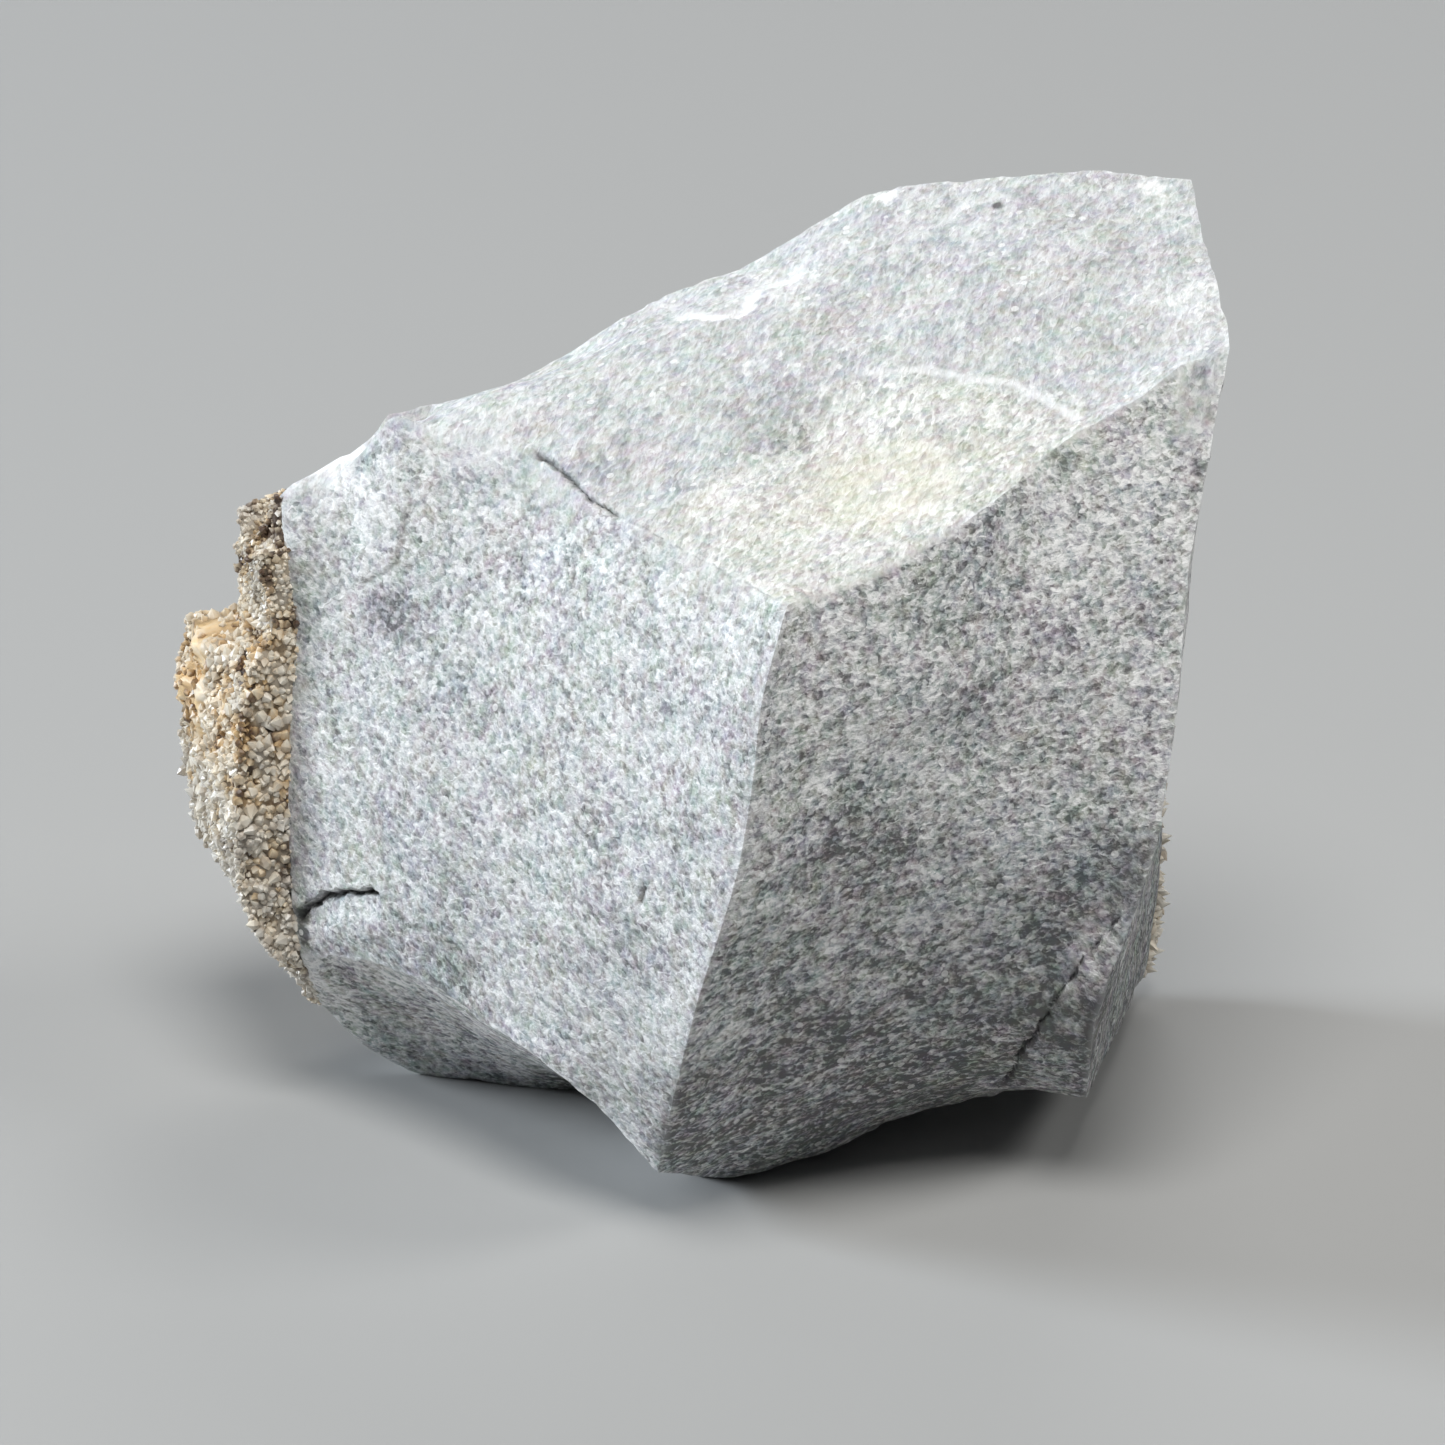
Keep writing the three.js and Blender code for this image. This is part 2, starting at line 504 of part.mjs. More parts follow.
function crystal({ spot, facing, fromBorder }, roll) {
  const [shortest, longest] = CRYSTAL_LENGTH;
  const size = smooth(fromBorder / CRYSTAL_FULL_SIZE_IN) * (0.3 + 0.7 * roll()) * backShare(spot);
  const length = shortest + (longest - shortest) * size;
  const radius = length / CRYSTAL_SLENDERNESS;
  const tilt = 2 * CRYSTAL_TILT * smooth(fromBorder / CRYSTAL_FULL_SIZE_IN * 2);
  const lean = v3(roll() - 0.5, roll() - 0.5, roll() - 0.5).multiplyScalar(tilt);
  const direction = facing.clone().add(lean).normalize();
  const spin = new THREE.Quaternion().setFromAxisAngle(v3(0, 0, 1), roll() * Math.PI);
  const turn = new THREE.Quaternion().setFromUnitVectors(v3(0, 0, 1), direction).multiply(spin);
  const shape = welded(tooth(length, radius));
  shape.applyQuaternion(turn);
  shape.translate(spot.x, spot.y, spot.z);
  return solid(shape);
}

// The block swollen by the gap under the druse, which is what the druse is cut back to.
function swollenBlock() {
  const swollen = block.clone();
  swollen.computeVertexNormals();
  const spots = swollen.attributes.position;
  for (let i = 0; i < spots.count; i += 1) {
    const point = v3().fromBufferAttribute(spots, i);
    point.addScaledVector(v3().fromBufferAttribute(swollen.attributes.normal, i), DRUSE_GAP);
    spots.setXYZ(i, point.x, point.y, point.z);
  }
  return solid(swollen);
}

const roll = dice(20);
const druseBlank = blank(bed);
const crystals = toothSpots(druseBlank, roll).map((place) => crystal(place, roll));
const grown = crystals.reduce((body, one) => body.add(one), druseBlank.body).subtract(swollenBlock());
const druse = grown.decompose().sort((one, other) => other.volume() - one.volume())[0];

const group = new THREE.Group();
const parts = {
  limestone_matrix: [rock, { color: 0xd3d5d4, roughness: 0.85, metalness: 0 }],
  calcite_druse: [druse, { color: 0xb1a492, roughness: 0.35, metalness: 0 }],
};
Object.entries(parts).forEach(([name, [body, finish]]) => {
  const mesh = new THREE.Mesh(geometryOf(body), new THREE.MeshStandardMaterial(finish));
  mesh.name = name;
  group.add(mesh);
});

export default group;
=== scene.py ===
# A hand specimen of dogtooth calcite: a broken block of pale grey limestone that carries a druse
# of tan calcite crystals on its back and its left side. Metres; +X is the block's right, -Y its
# broken front, +Y its back and +Z up. Lengths whose names end in _MM are millimetres.

import math

import bpy
import numpy as np
from mathutils import Matrix, Vector, noise
from mathutils.bvhtree import BVHTree
from mathutils.kdtree import KDTree


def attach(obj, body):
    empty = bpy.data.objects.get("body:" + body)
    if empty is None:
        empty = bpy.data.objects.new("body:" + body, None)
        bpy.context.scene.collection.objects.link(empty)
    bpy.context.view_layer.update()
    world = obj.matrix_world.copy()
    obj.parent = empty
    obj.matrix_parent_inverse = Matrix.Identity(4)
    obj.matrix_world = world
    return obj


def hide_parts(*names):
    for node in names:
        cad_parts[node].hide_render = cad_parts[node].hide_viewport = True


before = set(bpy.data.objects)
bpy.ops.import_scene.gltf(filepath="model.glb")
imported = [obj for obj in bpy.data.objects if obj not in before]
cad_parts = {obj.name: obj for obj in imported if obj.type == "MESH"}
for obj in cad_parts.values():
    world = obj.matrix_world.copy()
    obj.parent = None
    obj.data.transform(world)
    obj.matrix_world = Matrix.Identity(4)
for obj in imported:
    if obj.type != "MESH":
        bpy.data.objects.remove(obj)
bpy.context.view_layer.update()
MM = 0.001


# ---- The block -------------------------------------------------------------------------------
# The limestone that the druse grew on: one block of fine, sugary stone, broken out by hammer, so
# it has flat fresh faces, crisp ragged edges, a flake scar, cracks and a bruise from a blow.

STONE_CREASE_ANGLE = math.radians(30)     # edges sharper than this stay crisp
STONE_EDGE_CREASE = 0.85
STONE_SMOOTH_ANGLE = math.radians(40)
STONE_BUMPS_MM = [(5.0, 0.16), (2.2, 0.10), (1.1, 0.05)]      # width and height of the roughness
RAGGED_REACH_MM = 1.2                     # how far from an edge it is ragged
RAGGED_DEPTH_MM = 0.22
STREAK_WIDTH_MM = 1.6
STREAK_DEPTH_MM = 0.10
STREAK_STRETCH = 6
FINE_REACH_MM = 1.0                       # the mesh is finer this near to a crack or a scar's rim
TOP_FROM_MM = 48                          # the top is above this height
LINE_WANDER_MM = [(1.1, 0.28), (0.5, 0.16)]       # width and height of the crooks in every line
SCAR_DEPTH_MM = 0.16
BRUISE_DEPTH_MM = 0.16
CREAM_MIDDLE_MM = (13.0, -15.0, 55.0)     # a cream stain in the flake scar
CREAM_REACH_MM = 8.0
FOOT_SHADE_FROM_MM = 32                   # the right face is painted darker below this height, a painted shade
FOOT_SHADE_TO_MM = 6
FOOT_PAINTED_SHADE = 0.42
END_PAINTED_LIGHT = 0.14                           # the right end is painted this much paler, a painted light
# faces that turn downwards are painted this much paler, a painted light
UNDERCUT_PAINTED_LIGHT = 0.09
LIP_SHADE_REACH_MM = 4.5                  # the stone is painted darker above the lip, a painted shade, and paler below it, a painted light
LIP_PAINTED_SHADE = 0.15
LIP_PAINTED_LIGHT = 0.26

LEFT_FACING = Vector((-0.68, -0.70, 0.12)).normalized()
RIGHT_FACING = Vector((0.33, -0.93, 0.0)).normalized()
LIP_FACING = Vector((-0.55, -0.70, -0.45)).normalized()
TOP_FACING = Vector((-0.20, -0.25, 0.93)).normalized()

# Cracks and steps in the broken faces: the line that each follows, in millimetres.
RIPPLE_STEP = [(-21.7, -1.5, 49.0), (-22.4, -1.5, 47.9), (-22.7, -1.9, 46.7), (-22.8, -2.3, 45.4),
               (-23.1, -2.6, 44.1), (-24.3, -2.1, 43.3), (-25.6, -1.4, 42.5), (-26.9, -0.4, 42.5)]
LIP_EDGE = [(-30.6, -2.1, 12.5), (-29.4, -2.9, 12.5), (-28.0, -4.2, 13.2), (-26.7, -5.3, 13.4),
            (-25.1, -7.0, 13.8), (-23.5, -8.6, 14.0), (-21.9, -10.2, 14.0), (-19.8, -12.7, 14.0),
            (-17.5, -15.4, 13.5)]
LEDGE_CRACK = [(-31.3, -1.6, 15.3), (-30.7, -2.2, 16.2), (-29.6, -3.2, 17.3), (-28.6, -4.1, 18.3),
               (-27.0, -5.7, 19.2), (-25.7, -7.0, 19.6), (-24.5, -8.3, 20.3)]
SMALL_CHIP = [(-4.5, -27.7, 28.6), (-4.3, -28.1, 27.9), (-4.5, -28.1, 26.9)]
THIN_CRACK = [(-10.2, -11.7, 48.1), (-9.6, -13.2, 47.2), (-9.5, -14.1, 46.2)]
LIP_CRACK = [(-12.9, -3.3, 53.5), (-12.1, -4.0, 53.2), (-10.7, -6.0, 52.8), (-9.5, -8.1, 52.4),
             (-8.6, -9.9, 52.0), (-7.5, -11.7, 51.8), (-6.0, -13.5, 51.6)]
TOP_EDGE_SHADE_LINE = [(-6.0, -13.5, 51.6), (-4.3, -15.5, 51.4), (-2.4, -18.1, 51.1), (0.1, -21.3, 50.9),
            (2.1, -24.3, 50.7), (4.0, -27.5, 50.8), (5.4, -30.4, 51.0)]
SLAB_CRACK = [(31.7, -23.2, 24.9), (30.0, -22.6, 23.3), (28.5, -22.0, 21.1), (27.8, -21.7, 20.1),
              (26.3, -21.2, 17.2), (24.8, -20.0, 14.0), (23.9, -18.9, 12.3), (23.1, -16.7, 9.4),
              (22.6, -14.6, 7.2), (22.4, -12.6, 6.0)]
HAIRLINE = [(4.6, 4.1, 59.8), (7.1, 4.0, 60.1), (9.5, 3.3, 60.3)]
SCAR_RIM = [(11.9, -2.0, 58.9), (16.1, -2.4, 59.5), (19.8, -4.6, 59.4), (22.8, -5.9, 59.4),
            (25.2, -8.1, 58.9), (27.2, -11.1, 58.4)]
RIDGE_STREAK = [(14.0, 12.5, 64.1), (16.6, 14.2, 65.1), (19.7, 17.1, 66.1), (22.5, 17.5, 66.9)]

# Patches on the top: the outline of each, in millimetres.
FLAKE_SCAR = [(1.4, -10.2), (4.5, -9.4), (6.4, -7.6), (8.2, -5.3), (9.4, -3.0), (11.9, -2.0),
              (16.1, -2.4), (19.8, -4.6), (22.8, -5.9), (25.2, -8.1), (27.6, -10.6), (29.5, -13.5),
              (24.5, -18.0), (18.5, -24.0), (10.9, -29.5), (5.9, -33.0), (1.0, -27.0), (-2.6, -20.0),
              (-4.2, -15.4), (-1.1, -12.3)]
# Paler and darker patches of the stone, partly its own tone and partly painted light and shade, such as
# painted shadows under the top's edges and at a corner: the middle of each, how far it reaches, and its
# change.
TONE_AND_SHADING_PATCHES = [
    (-23.1, -3.9, 40.9, 3.2, -0.30), (-17.0, -14.5, 15.5, 4.5, -0.22), (-0.8, -31.0, 17.0, 6.0, 0.16),
    (-26.5, 1.5, 47.5, 5.0, 0.20), (-21.2, -11.7, 18.5, 6.0, -0.10), (10.5, -29.2, 32.0, 6.0, -0.26),
    (30.0, -22.5, 27.0, 6.5, -0.20), (14.5, -26.5, 23.5, 3.0, 0.18), (8.3, -31.0, 37.7, 1.6, 0.30),
    (9.1, -27.7, 23.2, 1.5, 0.25), (28.7, -17.4, 51.1, 8.0, 0.10), (5.6, -6.5, 56.0, 5.0, -0.13),
    (-7.5, -6.5, 53.6, 4.0, -0.12), (11.5, -6.0, 57.5, 4.5, 0.10), (36.7, 0.2, 63.9, 4.0, 0.16),
    (6.0, 12.0, 62.0, 6.0, 0.08), (25.8, -15.4, 57.0, 1.1, -0.45), (20.7, -21.4, 53.5, 0.9, -0.40),
    (29.5, -21.0, 14.5, 7.0, -0.36), (-2.0, -18.0, 38.0, 10.0, 0.09), (-27.5, -3.5, 29.5, 7.0, 0.09),
    (-17.5, 0.0, 52.5, 6.0, 0.09), (-27.5, 5.7, 49.6, 3.5, 0.22), (36.2, -8.3, 61.0, 1.0, -0.25),
    (36.1, -12.9, 55.0, 1.0, -0.35), (28.6, -22.2, 19.6, 1.3, 0.30), (26.9, -20.7, 14.3, 1.0, 0.25),
    (22.1, 16.3, 66.5, 0.6, -0.55), (-31.0, -1.9, 15.7, 1.0, -0.60), (-30.4, -2.2, 14.2, 0.9, -0.35),
    (13.7, 20.0, 66.1, 1.2, 0.40), (33.7, 16.0, 67.8, 1.3, 0.35)]
SMALL_PATCH_MM = 1.7                      # the mesh is finer around the patches below this reach
BRUISE = [(-4.3, 15.4), (-2.6, 10.4), (-1.3, 8.8), (0.4, 7.6), (2.6, 7.2), (3.9, 8.8), (4.8, 10.8),
          (7.1, 11.5), (8.1, 13.8), (8.6, 16.7), (6.9, 15.0), (4.8, 13.9), (2.3, 12.7),
          (-0.4, 13.2), (-2.0, 15.8)]


def merged_copy(node, name):
    """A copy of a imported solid's mesh as a new piece, with its loose triangles merged."""
    bpy.ops.object.select_all(action="DESELECT")
    piece = bpy.data.objects.new(name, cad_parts[node].data.copy())
    bpy.context.scene.collection.objects.link(piece)
    piece.select_set(True)
    bpy.context.view_layer.objects.active = piece
    piece.data.materials.clear()
    bpy.ops.object.mode_set(mode="EDIT")
    bpy.ops.mesh.select_all(action="SELECT")
    bpy.ops.mesh.remove_doubles(threshold=0.000001)
    bpy.ops.object.mode_set(mode="OBJECT")
    if piece.data.has_custom_normals:
        bpy.ops.mesh.customdata_custom_splitnormals_clear()
    return piece


def crease_and_subdivide(piece, angle, crease, levels):
    """Rounds the facets off and keeps the edges that are sharper than an angle."""
    bpy.ops.object.mode_set(mode="EDIT")
    bpy.ops.mesh.select_mode(type="EDGE")
    bpy.ops.mesh.select_all(action="DESELECT")
    bpy.ops.mesh.edges_select_sharp(sharpness=angle)
    bpy.ops.transform.edge_crease(value=crease)
    bpy.ops.object.mode_set(mode="OBJECT")
    finer = piece.modifiers.new("finer", "SUBSURF")
    finer.levels = levels
    finer.render_levels = levels
    bpy.ops.object.modifier_apply(modifier=finer.name)


def places_of(mesh):
    """Each vertex's place, in millimetres."""
    flat = np.empty(len(mesh.vertices) * 3)
    mesh.vertices.foreach_get("co", flat)
    return flat.reshape(-1, 3) / MM


def facings_of(mesh):
    """The way that the surface faces at each vertex."""
    flat = np.empty(len(mesh.vertices) * 3)
    mesh.vertices.foreach_get("normal", flat)
    return flat.reshape(-1, 3)


def put_places(mesh, places):
    """Moves the vertices to the given places."""
    mesh.vertices.foreach_set("co", (places * MM).ravel())
    mesh.update()


def fade(value, start, end):
    """0 at start and 1 at end, smoothly. It runs downwards where start is the larger."""
    share = np.clip((value - start) / (end - start), 0, 1)
    return share * share * (3 - 2 * share)


def along_line(places, line, facing):
    """How far each place is from a line drawn on a face, how far to its right, and where along
    the line it is nearest, from 0 to 1."""
    points = np.array(line, float)
    if points.shape[1] == 2:
        points = np.column_stack([points, np.zeros(len(points))])
        places = places * (1, 1, 0)
    steps = np.diff(points, axis=0)
    lengths = np.linalg.norm(steps, axis=1)
    starts = np.concatenate([[0], np.cumsum(lengths)])
    best = np.full(len(places), np.inf)
    right = np.zeros(len(places))
    where = np.zeros(len(places))
    for k, (point, step, length) in enumerate(zip(points, steps, lengths)):
        offset = places - point
        share = np.clip(offset @ step / length ** 2, 0, 1)
        away = offset - share[:, None] * step
        distance = np.linalg.norm(away, axis=1)
        sideways = np.cross(step / length, np.array(facing))
        nearer = distance < best
        best[nearer] = distance[nearer]
        right[nearer] = (away @ sideways)[nearer]
        where[nearer] = ((starts[k] + share * length) / starts[-1])[nearer]
    return best, right, where


def inside_by(places, outline):
    """How far each place lies inside a patch of the top, in millimetres, and below 0 outside."""
    closed = [*outline, outline[0]]
    distance, _, _ = along_line(places, closed, (0, 0, 1))
    inside = np.zeros(len(places), bool)
    x, y = places[:, 0], places[:, 1]
    for (x0, y0), (x1, y1) in zip(closed, closed[1:]):
        crosses = (y0 > y) != (y1 > y)
        reach = x0 + (y - y0) * (x1 - x0) / (y1 - y0 if y1 != y0 else 1)
        inside ^= crosses & (x < reach)
    return np.where(inside, distance, -distance)


def bumps(places, width, seed, basis="PERLIN_ORIGINAL"):
    """Noise, from about -1 to 1, whose bumps are about `width` wide."""
    shift = Vector((seed * 7.3, seed * 3.1, seed * 11.7))
    return np.array([noise.noise(Vector(place) / width + shift, noise_basis=basis) for place in places])


def make_finer(piece, near, rounds):
    """Subdivides the faces whose centres `near` picks out, so that thin lines have a shape."""
    for _ in range(rounds):
        mesh = piece.data
        centres = np.empty(len(mesh.polygons) * 3)
        mesh.polygons.foreach_get("center", centres)
        picked = near(centres.reshape(-1, 3) / MM)
        bpy.ops.object.mode_set(mode="EDIT")
        bpy.ops.mesh.select_mode(type="FACE")
        bpy.ops.mesh.select_all(action="DESELECT")
        bpy.ops.object.mode_set(mode="OBJECT")
        mesh.polygons.foreach_set("select", picked)
        bpy.ops.object.mode_set(mode="EDIT")
        bpy.ops.mesh.subdivide(number_cuts=1)
        bpy.ops.object.mode_set(mode="OBJECT")


def store(mesh, name, values):
    """Keeps a number for each vertex, for the material to read."""
    mesh.attributes.new(name, "FLOAT", "POINT").data.foreach_set("value", values.astype(np.float32))


block = merged_copy("limestone_matrix", "limestone_block")
bpy.ops.object.mode_set(mode="EDIT")
bpy.ops.mesh.select_all(action="SELECT")
bpy.ops.mesh.tris_convert_to_quads(face_threshold=math.radians(12), shape_threshold=math.radians(50))
bpy.ops.object.mode_set(mode="OBJECT")
crease_and_subdivide(block, STONE_CREASE_ANGLE, STONE_EDGE_CREASE, 2)


def near_a_mark(centres):
    """True near a crack, a step or the rim of a patch on the top."""
    close = np.zeros(len(centres), bool)
    for line in [RIPPLE_STEP, LIP_EDGE, LEDGE_CRACK, SMALL_CHIP, THIN_CRACK, LIP_CRACK, TOP_EDGE_SHADE_LINE,
                 SLAB_CRACK, HAIRLINE]:
        close |= along_line(centres, line, TOP_FACING)[0] < FINE_REACH_MM
    on_top = centres[:, 2] > TOP_FROM_MM
    for outline in [FLAKE_SCAR, BRUISE]:
        close |= on_top & (np.abs(inside_by(centres, outline)) < FINE_REACH_MM)
    for x, y, z, reach, _ in TONE_AND_SHADING_PATCHES:
        if reach < SMALL_PATCH_MM:
            close |= np.linalg.norm(centres - (x, y, z), axis=1) < reach + 0.5
    return close


make_finer(block, near_a_mark, 2)

places = places_of(block.data)
facings = facings_of(block.data)
rise = sum(height * bumps(places, width, k) for k, (width, height) in enumerate(STONE_BUMPS_MM))

# The edges are ragged: they crumbled a little when the block was broken out.
crease = np.zeros(len(block.data.edges), np.float32)
block.data.attributes["crease_edge"].data.foreach_get("value", crease)
ends = np.empty(len(block.data.edges) * 2, int)
block.data.edges.foreach_get("vertices", ends)
on_edge = np.unique(ends.reshape(-1, 2)[crease > 0.3])
edge_tree = KDTree(len(on_edge))
for n in on_edge:
    edge_tree.insert(places[n], int(n))
edge_tree.balance()
from_edge = np.array([edge_tree.find(place)[2] for place in places])
ragged = fade(from_edge, RAGGED_REACH_MM, 0)
rise -= RAGGED_DEPTH_MM * ragged * np.abs(bumps(places, 1.5, 9) + 0.5 * bumps(places, 0.7, 10))

# Streaks fan out over the two front faces from where the block was struck.
LEFT_WAY = Vector((0.65, -0.68, -0.35)).normalized()
RIGHT_WAY = Vector((0.93, 0.33, 0.16)).normalized()
TOP_WAY = Vector((0.30, 0.90, 0.31)).normalized()
to_left, to_right, to_top = [facings @ np.array(way) for way in (LEFT_FACING, RIGHT_FACING, TOP_FACING)]
on_left = fade(to_left - to_top, -0.15, 0.15)
on_right = fade(to_right - np.maximum(to_left, to_top), -0.15, 0.15)
for way, facing, share in [(LEFT_WAY, LEFT_FACING, on_left), (RIGHT_WAY, RIGHT_FACING, on_right)]:
    across = way.cross(facing).normalized()
    turned = places @ np.array([way / STREAK_STRETCH, across, facing]).T
    rise += STREAK_DEPTH_MM * share * bumps(turned, STREAK_WIDTH_MM, 4)

painted_line_shade = np.zeros(len(places))
wandering = places.copy()
for (width, height), seed in zip(LINE_WANDER_MM, (30, 34)):
    wandering += height * np.column_stack([bumps(places, width, seed + axis) for axis in range(3)])
bare_surface = BVHTree.FromObject(block, bpy.context.evaluated_depsgraph_get())


def on_surface(line):
    """The line with its points moved onto the block."""
    return [tuple(bare_surface.find_nearest(Vector(point) * MM)[0] / MM) for point in line]


def step_down(line, facing, depth, recover, painted_shade=0.0, painted_shade_width=0.25):
    """Drops the ground on the right of a line, lets it recover with distance, and paints shade along the
    line.
    """
    global rise, painted_line_shade
    distance, right, where = along_line(wandering, on_surface(line), facing)
    on_face = fade(facings @ np.array(facing), 0.2, 0.5)
    ends_out = fade(where, 0, 0.12) * fade(where, 1, 0.88)
    beside = fade(right, -0.08, 0.12) * fade(distance, recover, 0.1) * on_face * ends_out
    rise -= depth * beside
    painted_line_shade = np.maximum(painted_line_shade, painted_shade * fade(distance, painted_shade_width, 0.03) * on_face * ends_out)


def crack(line, facing, depth, width, darkness):
    """Opens a thin crack along a line, deepest in its middle, and paints shade into it."""
    global rise, painted_line_shade
    distance, _, where = along_line(wandering, on_surface(line), facing)
    wobble = 1 + 0.5 * bumps(places, 0.8, 13)
    on_face = fade(facings @ np.array(facing), 0.0, 0.4)
    open_here = fade(where, -0.02, 0.12) * fade(where, 1.02, 0.86) * on_face
    rise -= depth * open_here * fade(distance, width * wobble, 0)
    painted_line_shade = np.maximum(painted_line_shade, darkness * open_here * fade(distance, width * wobble * 0.9, 0.05))


# The dark strips along these lines are painted shade in the cracks and under the steps. Along the top's
# front edge there is only a shallow groove with a thin painted shade line.
step_down(RIPPLE_STEP, LEFT_FACING, depth=-0.20, recover=9.0, painted_shade=0.20, painted_shade_width=0.16)
step_down(LIP_EDGE, LIP_FACING, depth=0.9, recover=6.0, painted_shade=0.45, painted_shade_width=0.35)
step_down(LEDGE_CRACK, LEFT_FACING, depth=0.55, recover=3.0)
crack(LEDGE_CRACK, LEFT_FACING, depth=0.9, width=0.42, darkness=1.0)
crack(SMALL_CHIP, LEFT_FACING, depth=0.35, width=0.3, darkness=0.7)
crack(THIN_CRACK, LEFT_FACING, depth=0.25, width=0.22, darkness=0.6)
crack(LIP_CRACK, TOP_FACING, depth=0.5, width=0.36, darkness=0.9)
crack(TOP_EDGE_SHADE_LINE, TOP_FACING, depth=0.12, width=0.20, darkness=0.45)
step_down(SLAB_CRACK, RIGHT_FACING, depth=0.3, recover=7.0)
crack(SLAB_CRACK, RIGHT_FACING, depth=0.45, width=0.23, darkness=1.0)
crack(HAIRLINE, TOP_FACING, depth=0.1, width=0.16, darkness=0.4)

upward = fade(facings[:, 2], 0.45, 0.7)
scar_by = inside_by(places, FLAKE_SCAR) + 0.7 * bumps(places, 2.4, 21) + 0.4 * bumps(places, 0.9, 22)
bruise_by = inside_by(places, BRUISE) + 0.7 * bumps(places, 1.8, 23) + 0.4 * bumps(places, 0.7, 24)
scar = fade(scar_by, -0.15, 0.3) * upward
scar_tone = fade(inside_by(places, FLAKE_SCAR) + 1.2 * bumps(places, 3.5, 26), -1.6, 1.6) * upward
cream_by = np.linalg.norm((places - CREAM_MIDDLE_MM) * (0.8, 1, 1), axis=1)
bruise = fade(bruise_by, -0.1, 0.25) * upward
rise -= SCAR_DEPTH_MM * scar * fade(scar_by, 7, 0.3)
rise += BRUISE_DEPTH_MM * bruise * (bumps(places, 0.8, 25) - 0.6)
streak_by, _, _ = along_line(wandering, on_surface(RIDGE_STREAK), TOP_FACING)
rim_by, _, _ = along_line(wandering, on_surface(SCAR_RIM), TOP_FACING)
lower_rim = fade(0.3 * places[:, 0] - places[:, 1], -12.5, -9.0)
on_rim = fade(np.abs(bruise_by - 0.6), 1.1, 0.2)
crushed = 0.7 * np.clip(0.02 + 0.5 * bumps(places, 1.2, 31), 0, 1) + (0.10 + 0.80 * lower_rim) * on_rim
crushed = np.maximum(np.clip(crushed, 0, 1) * bruise, 0.6 * fade(streak_by, 0.5, 0.1) * upward)
crushed = np.maximum(crushed, 0.7 * fade(rim_by, 0.6, 0.1) * upward)
lip_by, _, lip_where = along_line(wandering, on_surface(LIP_EDGE), LIP_FACING)
crushed = np.maximum(crushed, 0.8 * fade(lip_by, 0.6, 0.1) * fade(lip_where, 1.0, 0.5))
tone_shift = np.zeros(len(places))
uneven = 1 + 0.55 * bumps(places, 2.4, 29) + 0.45 * bumps(places, 1.0, 28)
# Each patch is partly the stone's own tone and partly painted light and shade.
for x, y, z, reach, change in TONE_AND_SHADING_PATCHES:
    tone_shift += change * fade(np.linalg.norm(places - (x, y, z), axis=1) * uneven, reach, 0.3 * reach)

moved = places + rise[:, None] * facings
moved[:, 2] = np.maximum(moved[:, 2], 0)
put_places(block.data, moved)
downward = fade(facings[:, 2], -0.3, -0.55)
store(block.data, "flake_scar", scar_tone)
store(block.data, "cream", fade(cream_by + 1.5 * bumps(places, 2.5, 27), CREAM_REACH_MM, 2.5) * upward)
store(block.data, "crushed", crushed)
store(block.data, "on_left", on_left)
store(block.data, "on_right", on_right)
# The grain's contrast is painted by facing, as the light shows it: weaker on the top, and stronger on
# the right face and on faces that turn downwards. It is also stronger on the flake scar.
store(block.data, "contrast", 0.95 - 0.40 * upward + 0.32 * on_right * fade(places[:, 2], 8, 24)
      + 0.40 * scar_tone + 0.45 * downward)
# Painted light and shade by facing: the right face's foot is painted darker as shade, the right end and
# the faces that turn downwards are painted paler as light, and by the lip the stone is painted darker
# above it and paler below it.
painted_foot_shade = FOOT_PAINTED_SHADE * fade(places[:, 2], FOOT_SHADE_FROM_MM, FOOT_SHADE_TO_MM) * on_right
on_end = fade(facings[:, 0], 0.6, 0.85)
by_the_lip = fade(lip_by, LIP_SHADE_REACH_MM, 0.3) * fade(lip_where, 0.85, 0.5)
tone_shift += END_PAINTED_LIGHT * on_end + UNDERCUT_PAINTED_LIGHT * downward - painted_foot_shade
store(block.data, "tone_shift", tone_shift + by_the_lip * (LIP_PAINTED_LIGHT * downward - LIP_PAINTED_SHADE))
store(block.data, "painted_line_shade", painted_line_shade)
store(block.data, "worn_edge", fade(from_edge, 0.5, 0))
bpy.ops.object.shade_smooth_by_angle(angle=STONE_SMOOTH_ANGLE)


def add_node(tree, kind, inputs=(), **settings):
    """A shader node with its settings, and with its inputs set or linked."""
    made = tree.nodes.new(kind)
    for name, value in settings.items():
        setattr(made, name, value)
    for name, value in dict(inputs).items():
        if isinstance(value, bpy.types.NodeSocket):
            tree.links.new(value, made.inputs[name])
        else:
            made.inputs[name].default_value = value
    return made


def math_node(tree, operation, *values, clamp=False):
    """A sum or comparison of the given values or sockets."""
    made = add_node(tree, "ShaderNodeMath", enumerate(values), operation=operation, use_clamp=clamp)
    return made.outputs[0]


def read_mark(tree, name):
    """A number that `store` kept for each vertex."""
    return add_node(tree, "ShaderNodeAttribute", attribute_name=name).outputs["Fac"]


def mix_colour(tree, share, first, second, blend="MIX"):
    """The first colour with a share of the second."""
    mixer = add_node(tree, "ShaderNodeMix", data_type="RGBA", blend_type=blend)
    sockets = [mixer.inputs[0], mixer.inputs[6], mixer.inputs[7]]
    for socket, value in zip(sockets, [share, first, second]):
        if isinstance(value, bpy.types.NodeSocket):
            tree.links.new(value, socket)
        elif socket.type == "RGBA":
            socket.default_value = (*value, 1)
        else:
            socket.default_value = value
    return mixer.outputs[2]


